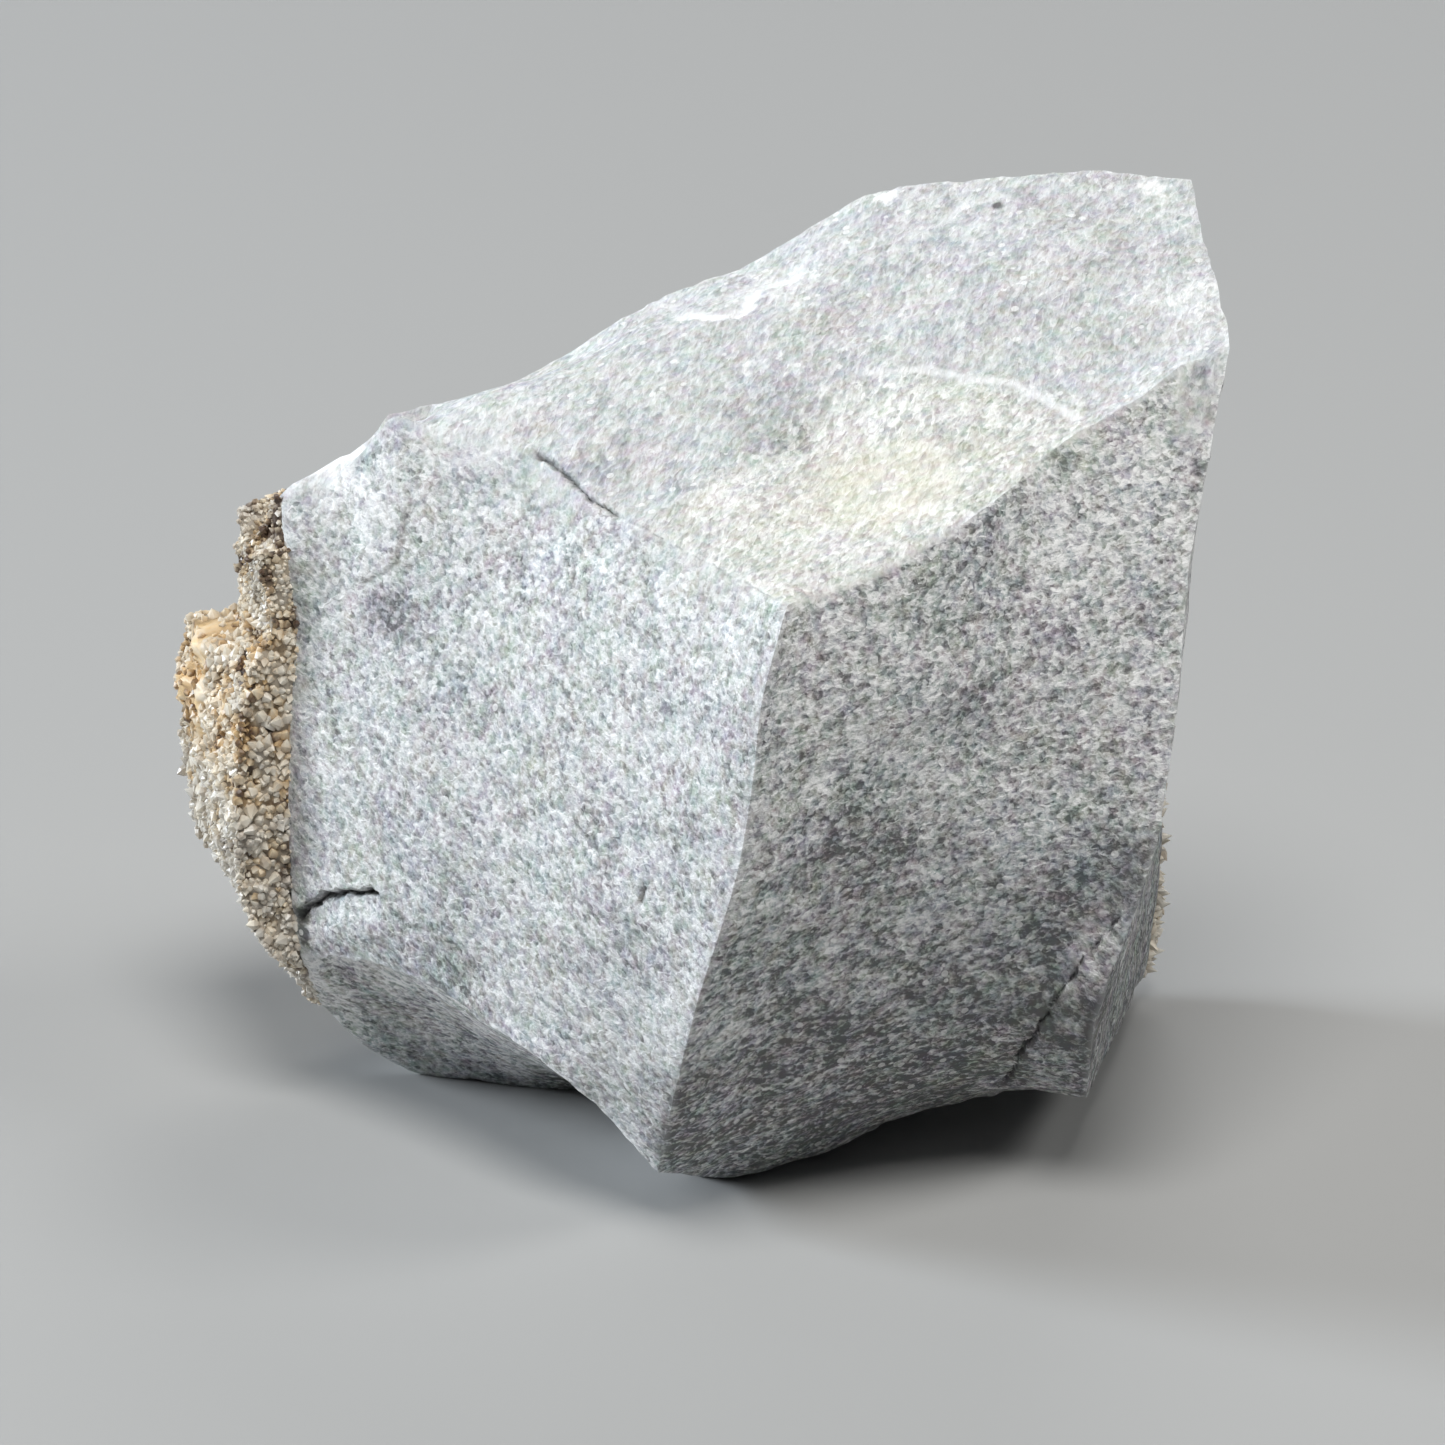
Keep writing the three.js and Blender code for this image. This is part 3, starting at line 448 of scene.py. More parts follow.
def ramp(tree, value, *stops):
    """A colour ramp through the given (place, colour) stops."""
    made = add_node(tree, "ShaderNodeValToRGB", {"Fac": value})
    elements = made.color_ramp.elements
    while len(elements) < len(stops):
        elements.new(0.5)
    for element, (place, colour) in zip(elements, stops):
        element.position = place
        element.color = (*colour, 1)
    return made.outputs["Color"]


def new_group(name, inputs, outputs):
    """An empty node group with named sockets."""
    group = bpy.data.node_groups.new(name, "ShaderNodeTree")
    for label, kind, value in inputs:
        socket = group.interface.new_socket(label, in_out="INPUT", socket_type=kind)
        if value is not None:
            socket.default_value = value
    for label, kind in outputs:
        group.interface.new_socket(label, in_out="OUTPUT", socket_type=kind)
    return group, group.nodes.new("NodeGroupInput").outputs, group.nodes.new("NodeGroupOutput").inputs


# Sugary grain, which the stone and the calcite share: interlocking crystals a few tenths of a
# millimetre across, each with its own tone, and bright curved lines where they catch the light.
grain, given, wanted = new_group(
    "sugary_grain",
    [("Vector", "NodeSocketVector", None), ("Grain Size", "NodeSocketFloat", 0.0004)],
    [("Tone", "NodeSocketFloat"), ("Height", "NodeSocketFloat")])
per_metre = math_node(grain, "DIVIDE", 1.0, given["Grain Size"])
wander = add_node(grain, "ShaderNodeTexNoise", {"Vector": given["Vector"], "Scale": per_metre,
                                                "Detail": 1.0, "Roughness": 0.5})
bent = add_node(grain, "ShaderNodeVectorMath", {0: wander.outputs["Color"], 1: given["Grain Size"],
                                                2: given["Vector"]}, operation="MULTIPLY_ADD").outputs[0]
grains = []
for fineness in (1.0, 2.2):
    scale = math_node(grain, "MULTIPLY", per_metre, fineness)
    cells = add_node(grain, "ShaderNodeTexVoronoi", {"Vector": bent, "Scale": scale}, feature="F1")
    parted = add_node(grain, "ShaderNodeSeparateColor", {"Color": cells.outputs["Color"]})
    grains.append(parted.outputs[0])
fine = add_node(grain, "ShaderNodeTexNoise", {"Vector": given["Vector"], "Scale": per_metre,
                                              "Detail": 3.0, "Roughness": 0.65}).outputs["Fac"]
curl_scale = math_node(grain, "MULTIPLY", per_metre, 0.42)
curl = add_node(grain, "ShaderNodeTexNoise", {"Vector": bent, "Scale": curl_scale, "Detail": 1.0,
                                              "Roughness": 0.4}).outputs["Fac"]
curl = math_node(grain, "ABSOLUTE", math_node(grain, "ADD", curl, -0.5))
curl = math_node(grain, "MULTIPLY_ADD", curl, -12.0, 1.0, clamp=True)
tone = math_node(grain, "MULTIPLY_ADD", grains[0], 0.38, -0.455)
tone = math_node(grain, "MULTIPLY_ADD", grains[1], 0.26, tone)
tone = math_node(grain, "MULTIPLY_ADD", fine, 1.0, tone)
tone = math_node(grain, "MULTIPLY_ADD", curl, 0.22, tone)
grain.links.new(tone, wanted["Tone"])
height = math_node(grain, "MULTIPLY_ADD", grains[0], 0.35, fine)
grain.links.new(math_node(grain, "MULTIPLY_ADD", curl, 0.25, height), wanted["Height"])


def along_face(tree, vector, way, facing, stretch):
    """A place in a face's own directions, with patterns on it stretched along `way`."""
    across = facing.cross(way).normalized()
    turn = Matrix((across.cross(facing), across, facing)).transposed().to_euler()
    made = add_node(tree, "ShaderNodeMapping", {"Vector": vector, "Rotation": turn,
                                                "Scale": (stretch, 1, 1)}, vector_type="TEXTURE")
    return made.outputs["Vector"]


def cloudy(tree, vector, width, detail=2.0, colour=False):
    """Soft noise whose clouds are about `width` metres wide."""
    made = add_node(tree, "ShaderNodeTexNoise", {"Vector": vector, "Scale": 1 / width, "Detail": detail,
                                                 "Roughness": 0.55})
    return made.outputs["Color" if colour else "Fac"]


# The stone's colours, from its darkest grains to its palest, each with its place in the tones.
STONE_COLOURS = [(0.0, (0.15, 0.154, 0.156)), (0.30, (0.40, 0.41, 0.412)), (0.60, (0.69, 0.70, 0.70)),
                 (0.90, (0.97, 0.97, 0.965))]
SCAR_COLOURS = [(0.0, (0.34, 0.34, 0.31)), (0.5, (0.68, 0.68, 0.635)), (0.9, (0.95, 0.95, 0.91))]
CREAM_COLOUR = (0.86, 0.80, 0.64)
FLECK_AND_GLINT_COLOUR = (0.93, 0.93, 0.92)
CRUSHED_COLOUR = (0.93, 0.93, 0.93)
WORN_COLOUR = (0.84, 0.85, 0.85)
LINE_SHADE_COLOUR = (0.035, 0.035, 0.037)
STONE_GRAIN_M = 0.00042
FLECKS_PER_M = 1300.0
FLECK_CHANCE = 0.07

stone = bpy.data.materials.new("limestone")
stone.use_nodes = True
tree = stone.node_tree
surface = tree.nodes["Principled BSDF"]
here = add_node(tree, "ShaderNodeTexCoord").outputs["Object"]
tone = None
height = None
# Each face's grain runs its own way: the face's mark, the way, the facing, and how far the grain and
# the streaks are stretched.
for mark, way, facing, stretch, streak in [
        (None, TOP_WAY, TOP_FACING, 1.9, 4), ("on_left", LEFT_WAY, LEFT_FACING, 1.3, 9),
        ("on_right", RIGHT_WAY, RIGHT_FACING, 1.3, 5)]:
    speckle = add_node(tree, "ShaderNodeGroup", {}, node_tree=grain)
    tree.links.new(along_face(tree, here, way, facing, stretch), speckle.inputs["Vector"])
    speckle.inputs["Grain Size"].default_value = STONE_GRAIN_M
    hackle = cloudy(tree, along_face(tree, here, way, facing, streak), 0.0007)
    face_tone = math_node(tree, "MULTIPLY_ADD", hackle, 0.30, speckle.outputs["Tone"])
    face_height = math_node(tree, "MULTIPLY_ADD", hackle, 0.7, speckle.outputs["Height"])
    if mark is None:
        tone, height = face_tone, face_height
    else:
        share = read_mark(tree, mark)
        tone = add_node(tree, "ShaderNodeMix", {0: share, 2: tone, 3: face_tone}).outputs[0]
        height = add_node(tree, "ShaderNodeMix", {0: share, 2: height, 3: face_height}).outputs[0]
tone = math_node(tree, "ADD", tone, -0.60)
tone = math_node(tree, "MULTIPLY_ADD", cloudy(tree, here, 0.0016), 0.35, tone)
tone = math_node(tree, "MULTIPLY_ADD", cloudy(tree, here, 0.0055, 3.0), 0.45, tone)
tone = math_node(tree, "ADD", tone, -0.40)
tone = math_node(tree, "MULTIPLY_ADD", tone, read_mark(tree, "contrast"), 0.50)
tone = math_node(tree, "ADD", tone, read_mark(tree, "tone_shift"), clamp=True)
colour = ramp(tree, tone, *STONE_COLOURS)
pale = ramp(tree, tone, *SCAR_COLOURS)
colour = mix_colour(tree, math_node(tree, "MULTIPLY", read_mark(tree, "flake_scar"), 0.8), colour, pale)
colour = mix_colour(tree, math_node(tree, "MULTIPLY", read_mark(tree, "cream"), 0.35), colour,
                    CREAM_COLOUR)
colour = mix_colour(tree, 0.18, colour, cloudy(tree, here, 0.0009, 2.0, colour=True), "OVERLAY")
colour = mix_colour(tree, 0.10, colour, cloudy(tree, here, 0.0040, 1.0, colour=True), "OVERLAY")
# White flecks, partly white grains and partly painted glints of the stone's sparkle.
fleck = add_node(tree, "ShaderNodeTexVoronoi", {"Vector": here, "Scale": FLECKS_PER_M}, feature="F1")
lucky = add_node(tree, "ShaderNodeSeparateColor", {"Color": fleck.outputs["Color"]}).outputs[0]
lucky = math_node(tree, "GREATER_THAN", lucky, 1 - FLECK_CHANCE)
near_middle = math_node(tree, "LESS_THAN", fleck.outputs["Distance"], 0.38)
on_fleck = math_node(tree, "MULTIPLY", lucky, near_middle)
colour = mix_colour(tree, math_node(tree, "MULTIPLY", on_fleck, 0.6), colour, FLECK_AND_GLINT_COLOUR)
colour = mix_colour(tree, math_node(tree, "MULTIPLY", read_mark(tree, "crushed"), 0.9), colour,
                    CRUSHED_COLOUR)
colour = mix_colour(tree, math_node(tree, "MULTIPLY", read_mark(tree, "worn_edge"), 0.22), colour,
                    WORN_COLOUR)
# Painted shade in the cracks and under the steps.
colour = mix_colour(tree, math_node(tree, "MULTIPLY", read_mark(tree, "painted_line_shade"), 0.85), colour,
                    LINE_SHADE_COLOUR)
tree.links.new(colour, surface.inputs["Base Color"])
surface.inputs["Roughness"].default_value = 0.8
surface.inputs["Specular IOR Level"].default_value = 0.35
relief = add_node(tree, "ShaderNodeBump", {"Height": height, "Strength": 0.7, "Distance": 0.0002})
tree.links.new(relief.outputs["Normal"], surface.inputs["Normal"])
block.data.materials.append(stone)

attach(block, "root")
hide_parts("limestone_matrix")
stone_surface = BVHTree.FromObject(block, bpy.context.evaluated_depsgraph_get())


# ---- The druse's crust -----------------------------------------------------------------------
# Calcite that grew over the block's back and left side while it lined a hollow in the rock. The crust
# between its crystals is brown and is painted darker still, a painted shade between them, and its large
# teeth are the ones that outgrew the others.

TOOTH_CREASE_ANGLE = math.radians(24)
CRUST_SMOOTH_ANGLE = math.radians(22)
SEAT_REACH_MM = 0.45                      # crust nearer than this to the stone is its seat
SEAT_DEPTH_MM = 0.35                      # and goes this far into the stone
CRUST_FREE_MM = 1.2                       # crust further than this from the stone is free to swell
SIDE_SINK_MM = 0.55                       # the side's crust lies this far under its crystals' tips
BACK_SINK_MM = 0.15
CRUST_LUMPS_MM = [(3.0, 0.40), (1.6, 0.62), (0.8, 0.25)]
CRUST_PITS_MM = (0.7, 0.15)
TOOTH_FROM_MM = 3.6                       # the back is a tooth this far out from the stone
TOOTH_BLEND_MM = 0.6
SIDE_TO_MM = -29.0                        # the left side ends at this X and the back begins
SIDE_BLEND_MM = 4
NUB_MM = (-40.5, 9.5, 31.0)               # middle of the ochre nub that stands out on the left
NUB_SHAPE = np.array([1.3, 1.0, 0.6])     # it is taller than it is wide
NUB_REACH_MM = 4.6
NUB_TOP_MM = 34.5                         # the nub ends in a step at this height
NUB_STEP_MM = 3.0
FOOT_TAPER = 0.65                         # the crust's foot thins by this share
WALL_FACE_MM2 = 0.24                      # the side's faces are divided down to about this
RIDGE_SLOPE = 0.364                       # fall of the line over the ridge that no calcite passes
RIDGE_COLUMN_MM = 1.0
RIDGE_MARGIN_MM = 0.3
RIM_END_MM = -31.5                        # the druse stands out past the ridge only left of this X
RIM_DROP_MOST_MM = 1.5
# Patches of the left side's calcite, partly its own mottling and partly painted shade in its recesses:
# the middle, how far it reaches, and its change of tone (darker to paler) and of hue (greyer to
# browner).
CALCITE_PATCHES = [
    (-34.6, 3.7, 42.5, 1.3, -0.45, 0.20), (-32.8, 1.2, 43.6, 1.3, -0.40, 0.15),
    (-34.5, 6.9, 45.0, 1.8, 0.10, -0.30), (-34.8, 5.7, 39.3, 1.6, -0.25, 0.10),
    (-32.2, 1.1, 40.7, 1.4, 0.40, 0.00), (-36.1, 5.0, 36.3, 1.6, 0.35, -0.05),
    (-35.6, 2.2, 34.4, 1.8, -0.60, 0.40), (-33.3, 0.6, 37.1, 1.2, -0.25, 0.15),
    (-39.2, 9.5, 34.0, 2.6, 0.15, 0.12), (-38.7, 7.1, 29.8, 2.2, 0.20, 0.16),
    (-36.7, 1.9, 28.5, 2.0, 0.40, -0.05), (-32.5, -0.6, 27.3, 1.8, 0.30, 0.05),
    (-32.9, -0.3, 30.4, 1.2, -0.20, -0.30), (-34.6, -1.5, 25.0, 1.6, -0.50, 0.30),
    (-35.8, -1.5, 22.7, 1.8, 0.35, 0.05), (-34.6, -2.0, 18.4, 1.4, -0.40, 0.25),
    (-33.0, -1.5, 20.2, 1.0, -0.15, 0.10), (-33.3, -1.8, 16.5, 1.2, 0.30, -0.15),
    (-31.5, -1.9, 12.6, 1.4, 0.20, 0.00), (-30.5, 1.0, 9.0, 1.6, -0.30, 0.20)]

# The line of the ridge, seen along the slope above: the calcite behind it stays below it.
ridge_columns = ((places_of(block.data)[:, 0] + 50) / RIDGE_COLUMN_MM).astype(int)
ridge_line = np.full(100, -np.inf)
np.maximum.at(ridge_line, ridge_columns, places_of(block.data) @ (0, RIDGE_SLOPE, 1))
ridge_line = np.minimum(ridge_line, np.minimum(np.roll(ridge_line, 1), np.roll(ridge_line, -1)))


def above_the_ridge(places):
    """How far each place stands above the line of the ridge, in millimetres."""
    column = np.clip(((places[..., 0] + 50) / RIDGE_COLUMN_MM).astype(int), 0, 99)
    return places @ (0, RIDGE_SLOPE, 1) - ridge_line[column]


def nub_at(places):
    """1 on the ochre nub, falling to 0 around it."""
    away = np.linalg.norm((places - np.array(NUB_MM)) * NUB_SHAPE, axis=1)
    return fade(away, NUB_REACH_MM, NUB_REACH_MM * 0.5)


def coarse_on_side(centres):
    """True for the large faces of the left side, which is seen from close by."""
    areas = np.empty(len(centres))
    crust.data.polygons.foreach_get("area", areas)
    return (centres[:, 0] < SIDE_TO_MM) & (areas > WALL_FACE_MM2 * MM ** 2)


crust = merged_copy("calcite_druse", "calcite_crust")
crease_and_subdivide(crust, TOOTH_CREASE_ANGLE, 1.0, 2)
make_finer(crust, coarse_on_side, 3)
places = places_of(crust.data)
facings = facings_of(crust.data)
found = [stone_surface.find_nearest(Vector(place) * MM) for place in places]
nearest = np.array([hit[0] for hit in found]) / MM
outward = np.array([hit[1] for hit in found])
from_stone = np.array([hit[3] for hit in found]) / MM
on_side = fade(places[:, 0], SIDE_TO_MM + SIDE_BLEND_MM, SIDE_TO_MM - SIDE_BLEND_MM)
on_tooth = fade(from_stone, TOOTH_FROM_MM - TOOTH_BLEND_MM, TOOTH_FROM_MM) * (1 - on_side)
free = fade(from_stone, SEAT_REACH_MM, CRUST_FREE_MM)
rise = sum(height * bumps(places, width, 40 + k) for k, (width, height) in enumerate(CRUST_LUMPS_MM))
rise = rise * (0.3 + 0.7 * on_side) - BACK_SINK_MM - (SIDE_SINK_MM - BACK_SINK_MM) * on_side
rise += CRUST_PITS_MM[1] * (1 - on_tooth) * bumps(places, CRUST_PITS_MM[0], 43, "VORONOI_F2F1")
nub = nub_at(places)
rise += nub * (SIDE_SINK_MM - 0.1 + 0.30 * bumps(places, 1.8, 55) + 0.30 * bumps(places, 0.7, 56))
moved = places + (free * rise)[:, None] * facings
above_nub = fade(places[:, 2], NUB_TOP_MM - 0.2, NUB_TOP_MM + 0.6) * fade(places[:, 2], 40.5, 36.5)
moved[:, 0] += NUB_STEP_MM * above_nub * free * fade(places[:, 0], -35.4, -37.8)
thinner = FOOT_TAPER * fade(places[:, 2], 14, 7.5) * on_side
moved += thinner[:, None] * (nearest - moved)
seated = from_stone < SEAT_REACH_MM
moved[seated] = (nearest - SEAT_DEPTH_MM * outward)[seated]
excess = np.where(moved[:, 0] > RIM_END_MM, above_the_ridge(moved) + RIDGE_MARGIN_MM, 0)
moved[:, 2] -= np.clip(excess, 0, RIM_DROP_MOST_MM)
put_places(crust.data, moved)
bpy.ops.object.shade_smooth_by_angle(angle=CRUST_SMOOTH_ANGLE)

# The nub is smooth all over.
sharp = crust.data.attributes["sharp_edge"].data
keep_sharp = np.empty(len(sharp), bool)
sharp.foreach_get("value", keep_sharp)
ends = np.empty(len(sharp) * 2, int)
crust.data.edges.foreach_get("vertices", ends)
sharp.foreach_set("value", keep_sharp & (nub[ends].reshape(-1, 2).max(axis=1) < 0.3))


def patched(places):
    """The change of tone and of hue that the patches make at each place."""
    crooked = places + 0.7 * np.column_stack([bumps(places, 1.5, 70 + axis) for axis in range(3)])
    change = np.zeros((2, len(places)))
    for x, y, z, reach, lighter, browner in CALCITE_PATCHES:
        share = fade(np.linalg.norm(crooked - (x, y, z), axis=1), reach, 0.4 * reach)
        change += np.outer((lighter, browner), share)
    return change


CALCITE_HUE = 0.37
NUB_HUE = 0.70
CALCITE_TONE = 0.64
NUB_TONE = 0.30
LOW_MM = (26, 19)                         # below these heights the calcite is greyer, and is painted paler as painted light,
TOP_MM = (37, 40)                         # and above these it is darker
RIGHT_MM = (27, 32)                       # and it is paler at the block's right


def lump_of(places):
    """1 on the crust's lumps and -1 in the hollows between them."""
    field = bumps(places, CRUST_LUMPS_MM[1][0], 41) + 0.4 * bumps(places, CRUST_LUMPS_MM[2][0], 42)
    return np.clip(3.2 * field, -1, 1)


def hue_of(places):
    """The calcite's colour at each place, from 0, grey, by cream and honey to 1, brown."""
    hue = CALCITE_HUE + 0.34 * bumps(places, 3.4, 51) + 0.25 * bumps(places, 1.3, 52)
    hue += patched(places)[1]
    middle = fade(places[:, 2], 20, 26) * fade(places[:, 2], 40, 36)
    hue += 0.08 * middle - 0.26 * fade(places[:, 2], *LOW_MM) - 0.08 * fade(places[:, 2], *TOP_MM)
    hue -= 0.12 * lump_of(places)
    nub = nub_at(places)
    return hue * (1 - nub) + (NUB_HUE + 0.16 * bumps(places, 1.2, 53)) * nub


def tone_of(places):
    """How pale the calcite is at each place: 0 in its hollows and 1 where it is palest. The hollows are
    darker, partly its own mottling and partly painted shade, and low down it is painted paler as painted
    light.
    """
    low = fade(places[:, 2], *LOW_MM)
    tone = CALCITE_TONE + (0.50 + 0.35 * low) * lump_of(places) + 0.30 * bumps(places, 4.0, 67)
    tone += 1.3 * patched(places)[0] + 0.54 * low - 0.26 * fade(places[:, 2], *TOP_MM)
    tone += 0.30 * fade(places[:, 0], *RIGHT_MM)
    nub = nub_at(places)
    return tone * (1 - nub) + (NUB_TONE + 0.45 * bumps(places, 1.0, 54)) * nub


out_on_back = fade(from_stone, 3.0, 6.0) * (1 - on_side)
store(crust.data, "tip", np.maximum(np.maximum(on_tooth, out_on_back), nub))
store(crust.data, "tone", tone_of(places) + 0.4 * bumps(places, 0.8, 44))
store(crust.data, "hue", hue_of(places))

# The calcite's colours from grey by cream and honey to brown, what its hollows' colour is multiplied by
# (partly their own brown and partly painted shade), and what its pale parts are mixed with.
CALCITE_COLOURS = [(0.0, (0.60, 0.56, 0.51)), (0.33, (0.90, 0.79, 0.60)), (0.66, (0.90, 0.64, 0.33)),
                   (1.0, (0.42, 0.27, 0.18))]
HOLLOW_COLOUR = (0.19, 0.145, 0.135)
PALE_COLOUR = (1.0, 0.97, 0.88)
CALCITE_GRAIN_M = 0.0005
CALCITE_IOR = 1.6

calcite = {}
for name, painted_gap_shade, roughness in [("calcite_crust", 0.44, 0.5), ("calcite_crystal", 0.66, 0.36)]:
    made = bpy.data.materials.new(name)
    made.use_nodes = True
    tree = made.node_tree
    surface = tree.nodes["Principled BSDF"]
    here = add_node(tree, "ShaderNodeTexCoord").outputs["Object"]
    speckle = add_node(tree, "ShaderNodeGroup", {}, node_tree=grain)
    tree.links.new(here, speckle.inputs["Vector"])
    speckle.inputs["Grain Size"].default_value = CALCITE_GRAIN_M
    tone = math_node(tree, "MULTIPLY_ADD", cloudy(tree, here, 0.0022, 3.0), 0.5, -0.25)
    tone = math_node(tree, "ADD", read_mark(tree, "tone"), tone)
    tone = math_node(tree, "ADD", tone, -0.12)
    tone = math_node(tree, "MULTIPLY_ADD", speckle.outputs["Tone"], 0.25, tone)
    tip = read_mark(tree, "tip")
    tone = math_node(tree, "MULTIPLY_ADD", tip, 0.25, tone, clamp=True)
    body = ramp(tree, read_mark(tree, "hue"), *CALCITE_COLOURS)
    deep = mix_colour(tree, 1.0, body, HOLLOW_COLOUR, "MULTIPLY")
    high = mix_colour(tree, 0.60, body, PALE_COLOUR)
    shares = [add_node(tree, "ShaderNodeMapRange", {"Value": tone, "From Min": start,
                                                    "From Max": start + 0.5}) for start in (0.0, 0.5)]
    colour = mix_colour(tree, shares[0].outputs[0], deep, body)
    colour = mix_colour(tree, shares[1].outputs[0], colour, high)
    # Painted shade: the crust between the crystals and the lower part of each crystal are painted
    # darker, as the shade between them. The large teeth, the nub and the crystals' tips keep their
    # colour.
    darker = mix_colour(tree, 1.0, colour, (painted_gap_shade, painted_gap_shade * 0.92, painted_gap_shade * 0.85), "MULTIPLY")
    colour = mix_colour(tree, tip, darker, colour)
    tree.links.new(colour, surface.inputs["Base Color"])
    surface.inputs["Roughness"].default_value = roughness
    surface.inputs["IOR"].default_value = CALCITE_IOR
    relief = add_node(tree, "ShaderNodeBump", {"Height": speckle.outputs["Height"], "Strength": 0.35,
                                               "Distance": 0.0001})
    tree.links.new(relief.outputs["Normal"], surface.inputs["Normal"])
    calcite[name] = made
crust.data.materials.append(calcite["calcite_crust"])
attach(crust, "root")
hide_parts("calcite_druse")


# ---- The small crystals ----------------------------------------------------------------------
# The dogteeth themselves: thousands of short six-sided teeth that cover the crust side by side,
# about a millimetre wide, and longer on the back. One is shaped, and copied with its own mesh.

bpy.ops.object.select_all(action="DESELECT")
bpy.ops.mesh.primitive_cone_add(vertices=6, radius1=0.40, radius2=0.5, depth=0.3, location=(0, 0, 0.15),
                                end_fill_type="TRIFAN")
tooth = bpy.context.object
bpy.ops.object.transform_apply()


def lift(picks, height):
    """Moves the tooth's corners that `picks` finds."""
    bpy.ops.object.mode_set(mode="EDIT")
    bpy.ops.mesh.select_mode(type="VERT")
    bpy.ops.mesh.select_all(action="DESELECT")
    bpy.ops.object.mode_set(mode="OBJECT")
    for corner in tooth.data.vertices:
        corner.select = picks(corner.co)
    bpy.ops.object.mode_set(mode="EDIT")
    bpy.ops.transform.translate(value=(0, 0, height))
    bpy.ops.object.mode_set(mode="OBJECT")


lift(lambda at: at.xy.length < 0.1 and at.z > 0.2, 0.7)
lift(lambda at: at.xy.length < 0.1 and at.z < 0.1, -0.35)
lift(lambda at: (at.xy.length > 0.1 and at.z > 0.2
                 and math.sin(3 * math.atan2(at.y, at.x) + 0.1) > 0), 0.14)
bpy.ops.object.mode_set(mode="EDIT")
bpy.ops.mesh.select_all(action="SELECT")
bpy.ops.mesh.quads_convert_to_tris()
bpy.ops.object.mode_set(mode="OBJECT")
tooth_corners = np.array([corner.co for corner in tooth.data.vertices])
tooth_faces = np.array([list(face.vertices) for face in tooth.data.polygons])
bpy.data.objects.remove(tooth)

SIDE_WIDTH_MM = (0.48, 1.20)              # narrowest and widest crystal on the side
SIDE_SLENDERNESS = (0.7, 1.25)            # length over width
BACK_WIDTH_MM = (0.6, 1.35)
BACK_SLENDERNESS = (1.1, 2.0)
SIDE_CROWDING = 0.57                      # distance to the next crystal over the width
BACK_CROWDING = 0.64
NUB_SHARE = 0.08                          # few of them are on the nub
SUNK = 0.42                               # the share of a crystal's length that is in the crust
CANDIDATES = 24000
CRYSTAL_LEAN = 0.45
SMALLER_AT_TOP = 0.3                      # near the top of the side they are this much narrower
SMALLER_AT_RIDGE = 0.5
FLOOR_CLEARANCE_MM = 0.25

mesh = crust.data
mesh.calc_loop_triangles()
triangles = np.array([list(t.vertices) for t in mesh.loop_triangles])
corners = places_of(mesh)[triangles]
normals = np.cross(corners[:, 1] - corners[:, 0], corners[:, 2] - corners[:, 0])
areas = np.linalg.norm(normals, axis=1) / 2
normals /= np.maximum(areas, 1e-9)[:, None] * 2
centres = corners.mean(axis=1)
clear = from_stone[triangles].mean(axis=1)
bare_tooth = on_tooth[triangles].mean(axis=1)


def under_the_ridge(corners):
    """True for the crystals that the ridge shields: they grew in the hollow behind it."""
    below = above_the_ridge(corners) < -RIDGE_MARGIN_MM
    return below.all(axis=1) | (corners[:, :, 0] < RIM_END_MM).any(axis=1)


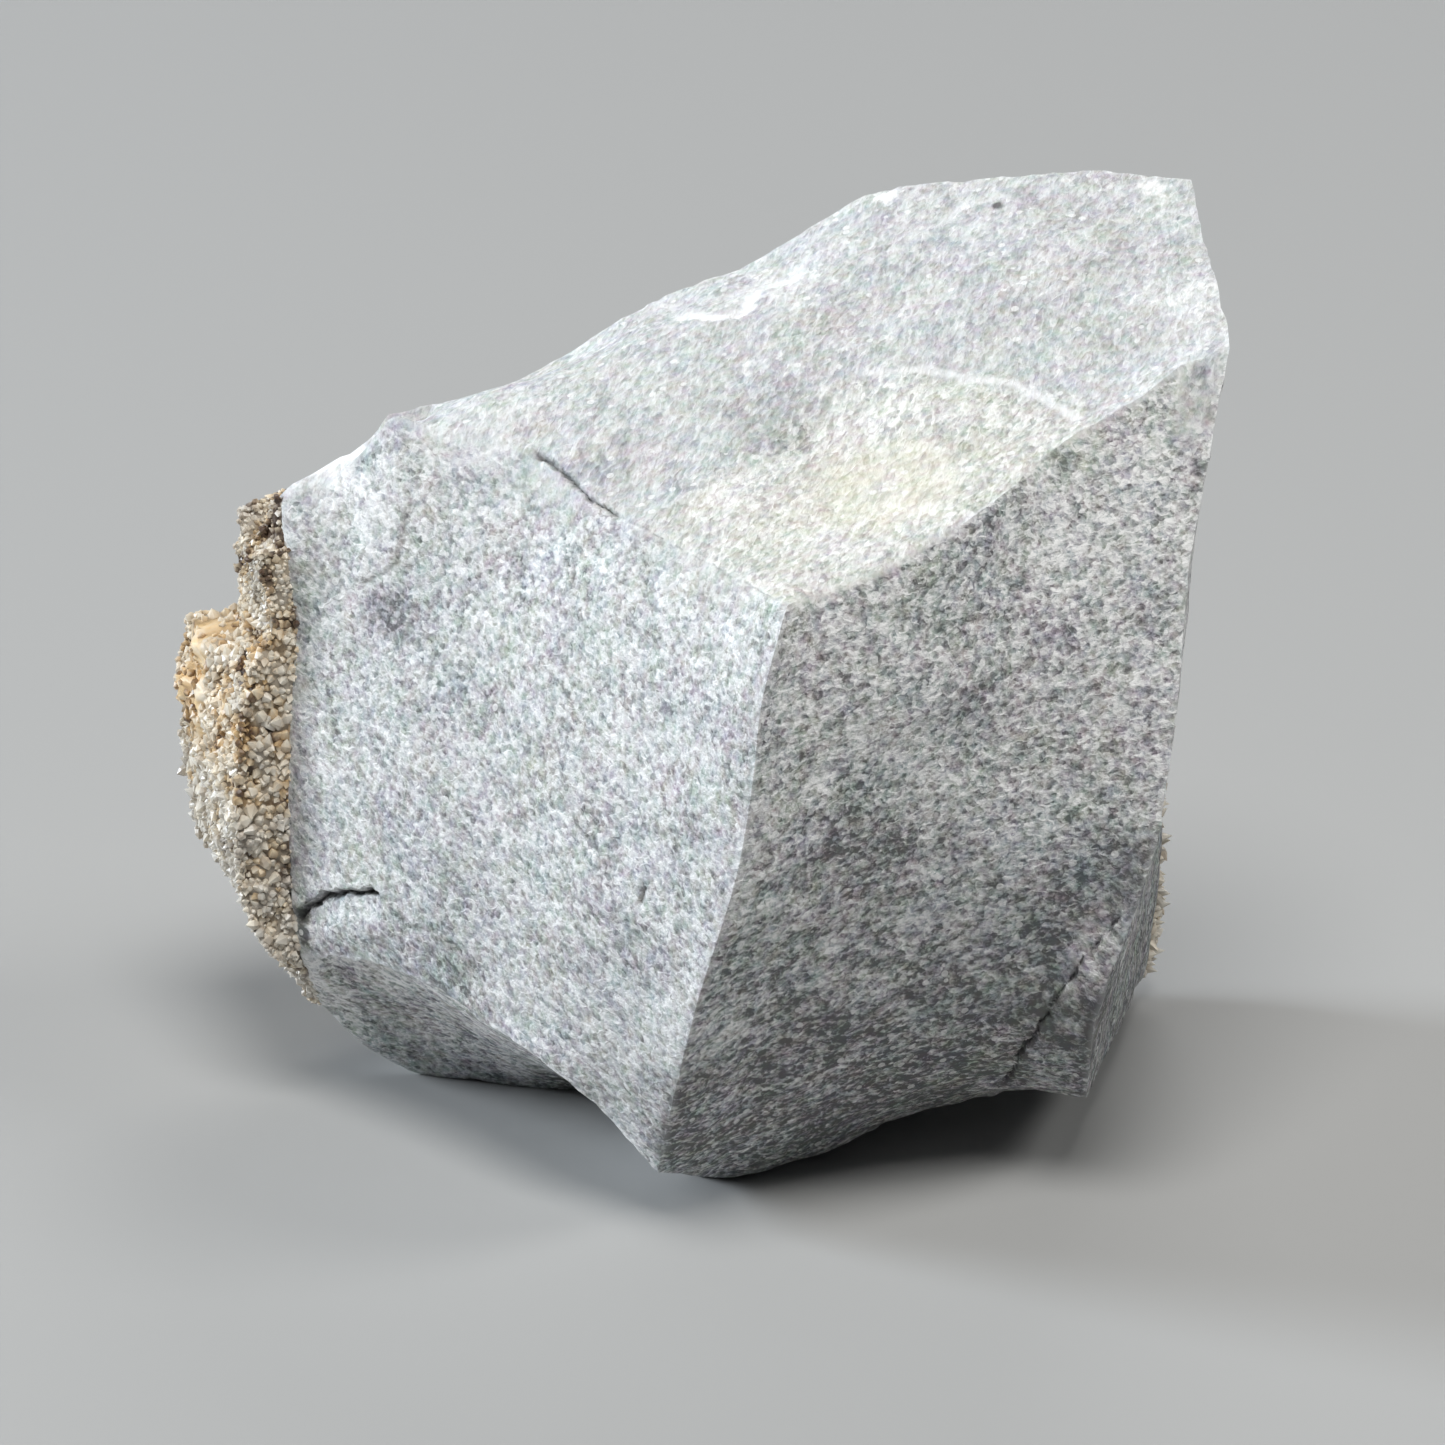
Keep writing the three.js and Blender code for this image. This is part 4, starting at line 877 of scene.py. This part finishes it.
def grow(name, widths, slenderness, crowding, here, seed):
    """Copies the tooth all over the crust's faces that `here` marks, each at its own size and lean."""
    dice = np.random.default_rng(seed)
    chance = areas * here
    picks = dice.choice(len(areas), CANDIDATES, p=chance / chance.sum())
    spread = np.sort(dice.random((CANDIDATES, 2)), axis=1)
    weights = np.column_stack([spread[:, 0], spread[:, 1] - spread[:, 0], 1 - spread[:, 1]])
    spots = np.einsum("nk,nkd->nd", weights, corners[picks])
    size = dice.random(CANDIDATES) ** 1.5 * (0.75 + 0.6 * bumps(spots, 2.2, seed))
    width = widths[0] + (widths[1] - widths[0]) * np.clip(size, 0, 1) * fade(clear[picks], -1.5, 0.9)
    width *= 1 - SMALLER_AT_TOP * fade(spots[:, 2], *TOP_MM)
    width *= 1 - SMALLER_AT_RIDGE * fade(above_the_ridge(spots), -2.0, -0.5) * (spots[:, 0] > RIM_END_MM)
    tree = KDTree(CANDIDATES)
    for n, spot in enumerate(spots):
        tree.insert(spot, n)
    tree.balance()
    free = np.ones(CANDIDATES, bool)
    chosen = []
    for n, spot in enumerate(spots):
        if free[n]:
            chosen.append(n)
            free[[near[1] for near in tree.find_range(spot, crowding * width[n])]] = False
    picks, spots, width = picks[chosen], spots[chosen], width[chosen]
    count = len(chosen)
    length = width * dice.uniform(*slenderness, count)
    up = normals[picks] + dice.normal(size=(count, 3)) * CRYSTAL_LEAN
    up /= np.linalg.norm(up, axis=1)[:, None]
    side = np.cross(up, dice.normal(size=(count, 3)))
    side /= np.linalg.norm(side, axis=1)[:, None]
    third = np.cross(up, side)
    shaped = tooth_corners[None] * np.stack([width, width, length], axis=1)[:, None]
    turned = (shaped[:, :, 0:1] * side[:, None] + shaped[:, :, 1:2] * third[:, None]
              + shaped[:, :, 2:3] * up[:, None]) + (spots - (SUNK * length)[:, None] * up)[:, None]
    kept = (turned[:, :, 2].min(axis=1) > FLOOR_CLEARANCE_MM) & under_the_ridge(turned)
    turned = turned[kept]
    total = len(turned)
    faces = (tooth_faces[None] + (np.arange(total) * len(tooth_corners))[:, None, None]).reshape(-1, 3)
    body = bpy.data.meshes.new(name)
    body.from_pydata(turned.reshape(-1, 3) * MM, [], faces)
    tips = np.tile(fade(tooth_corners[:, 2], 0.1, 0.8), total)
    store(body, "tip", tips)
    tones = tone_of(spots[kept]) + 0.14 * (dice.random(total) - 0.4)
    # Paler towards the tips and darker at the feet: partly the crystals' own paler tips and partly
    # painted shade at their feet.
    store(body, "tone", np.repeat(tones, len(tooth_corners)) + 0.25 * (tips - 0.5))
    hues = hue_of(spots[kept]) + 0.08 * dice.normal(size=total)
    store(body, "hue", np.repeat(hues, len(tooth_corners)))
    piece = bpy.data.objects.new(name, body)
    bpy.context.scene.collection.objects.link(piece)
    piece.data.materials.append(calcite["calcite_crystal"])
    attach(piece, "root")
    return piece


outer = ~seated[triangles].all(axis=1) & (clear > 0.2) & (bare_tooth < 0.5)
side_share = fade(centres[:, 0], SIDE_TO_MM + 3, SIDE_TO_MM - 1)
on_nub = nub[triangles].mean(axis=1) + 0.3 * bumps(centres, 1.5, 57)
grow("side_crystals", SIDE_WIDTH_MM, SIDE_SLENDERNESS, SIDE_CROWDING,
     outer * side_share * np.where(on_nub < 0.35, 1, NUB_SHARE), 61)
grow("back_crystals", BACK_WIDTH_MM, BACK_SLENDERNESS, BACK_CROWDING, outer * (1 - side_share), 62)


# ---- The floor, the lights and the camera ------------------------------------------------------
# The block stands on a plain pale floor under soft studio light: a cool lamp low on the left, a
# wide one overhead, and weaker ones on the right and behind.

bpy.ops.mesh.primitive_plane_add(size=6, location=(0, 0, 0))
floor = bpy.context.object
floor.name = "floor"
paint = bpy.data.materials.new("floor_paint")
paint.use_nodes = True
paint.node_tree.nodes["Principled BSDF"].inputs["Base Color"].default_value = (0.42, 0.42, 0.415, 1)
paint.node_tree.nodes["Principled BSDF"].inputs["Roughness"].default_value = 0.9
floor.data.materials.append(paint)


def soft_lamp(name, way, distance, size, power, colour):
    """A round lamp that shines on the block from a way off, `way` being the way to the lamp."""
    lamp = bpy.data.lights.new(name, "AREA")
    lamp.shape = "DISK"
    lamp.size = size
    lamp.energy = power
    lamp.color = colour
    holder = bpy.data.objects.new(name, lamp)
    way = Vector(way).normalized()
    holder.location = Vector((0, 0, 0.035)) + way * distance
    holder.rotation_euler = way.to_track_quat("Z", "Y").to_euler()
    bpy.context.scene.collection.objects.link(holder)


soft_lamp("left_lamp", (-0.93, 0.20, 0.30), 1.3, 0.45, 16.3, (0.85, 0.925, 1.0))
soft_lamp("top_lamp", (0.0, -0.39, 0.92), 1.2, 0.60, 9.8, (1.0, 0.995, 0.975))
soft_lamp("right_lamp", (0.70, -0.11, 0.70), 1.2, 0.40, 3.6, (1.0, 1.0, 0.98))
soft_lamp("back_lamp", (0.1, 0.85, 0.52), 1.2, 0.50, 2.8, (1.0, 1.0, 1.0))

world = bpy.data.worlds.new("studio")
bpy.context.scene.world = world
world.use_nodes = True
world.node_tree.nodes["Background"].inputs["Color"].default_value = (0.9, 0.93, 1.0, 1)
world.node_tree.nodes["Background"].inputs["Strength"].default_value = 0.05
bpy.context.scene.view_settings.view_transform = "Standard"

CAMERA_TILT = math.radians(20)
CAMERA_DISTANCE = 0.623
CAMERA_AIM = Vector((0.00132, 0.0, 0.0307))
camera_data = bpy.data.cameras.new("camera")
camera_data.sensor_width = 36
camera_data.lens = 18 / math.tan(math.radians(5))
camera = bpy.data.objects.new("camera", camera_data)
camera_way = Vector((0, -math.cos(CAMERA_TILT), math.sin(CAMERA_TILT)))
camera.location = CAMERA_AIM + CAMERA_DISTANCE * camera_way
camera.rotation_euler = (math.radians(90) - CAMERA_TILT, 0, 0)
bpy.context.scene.collection.objects.link(camera)
bpy.context.scene.camera = camera
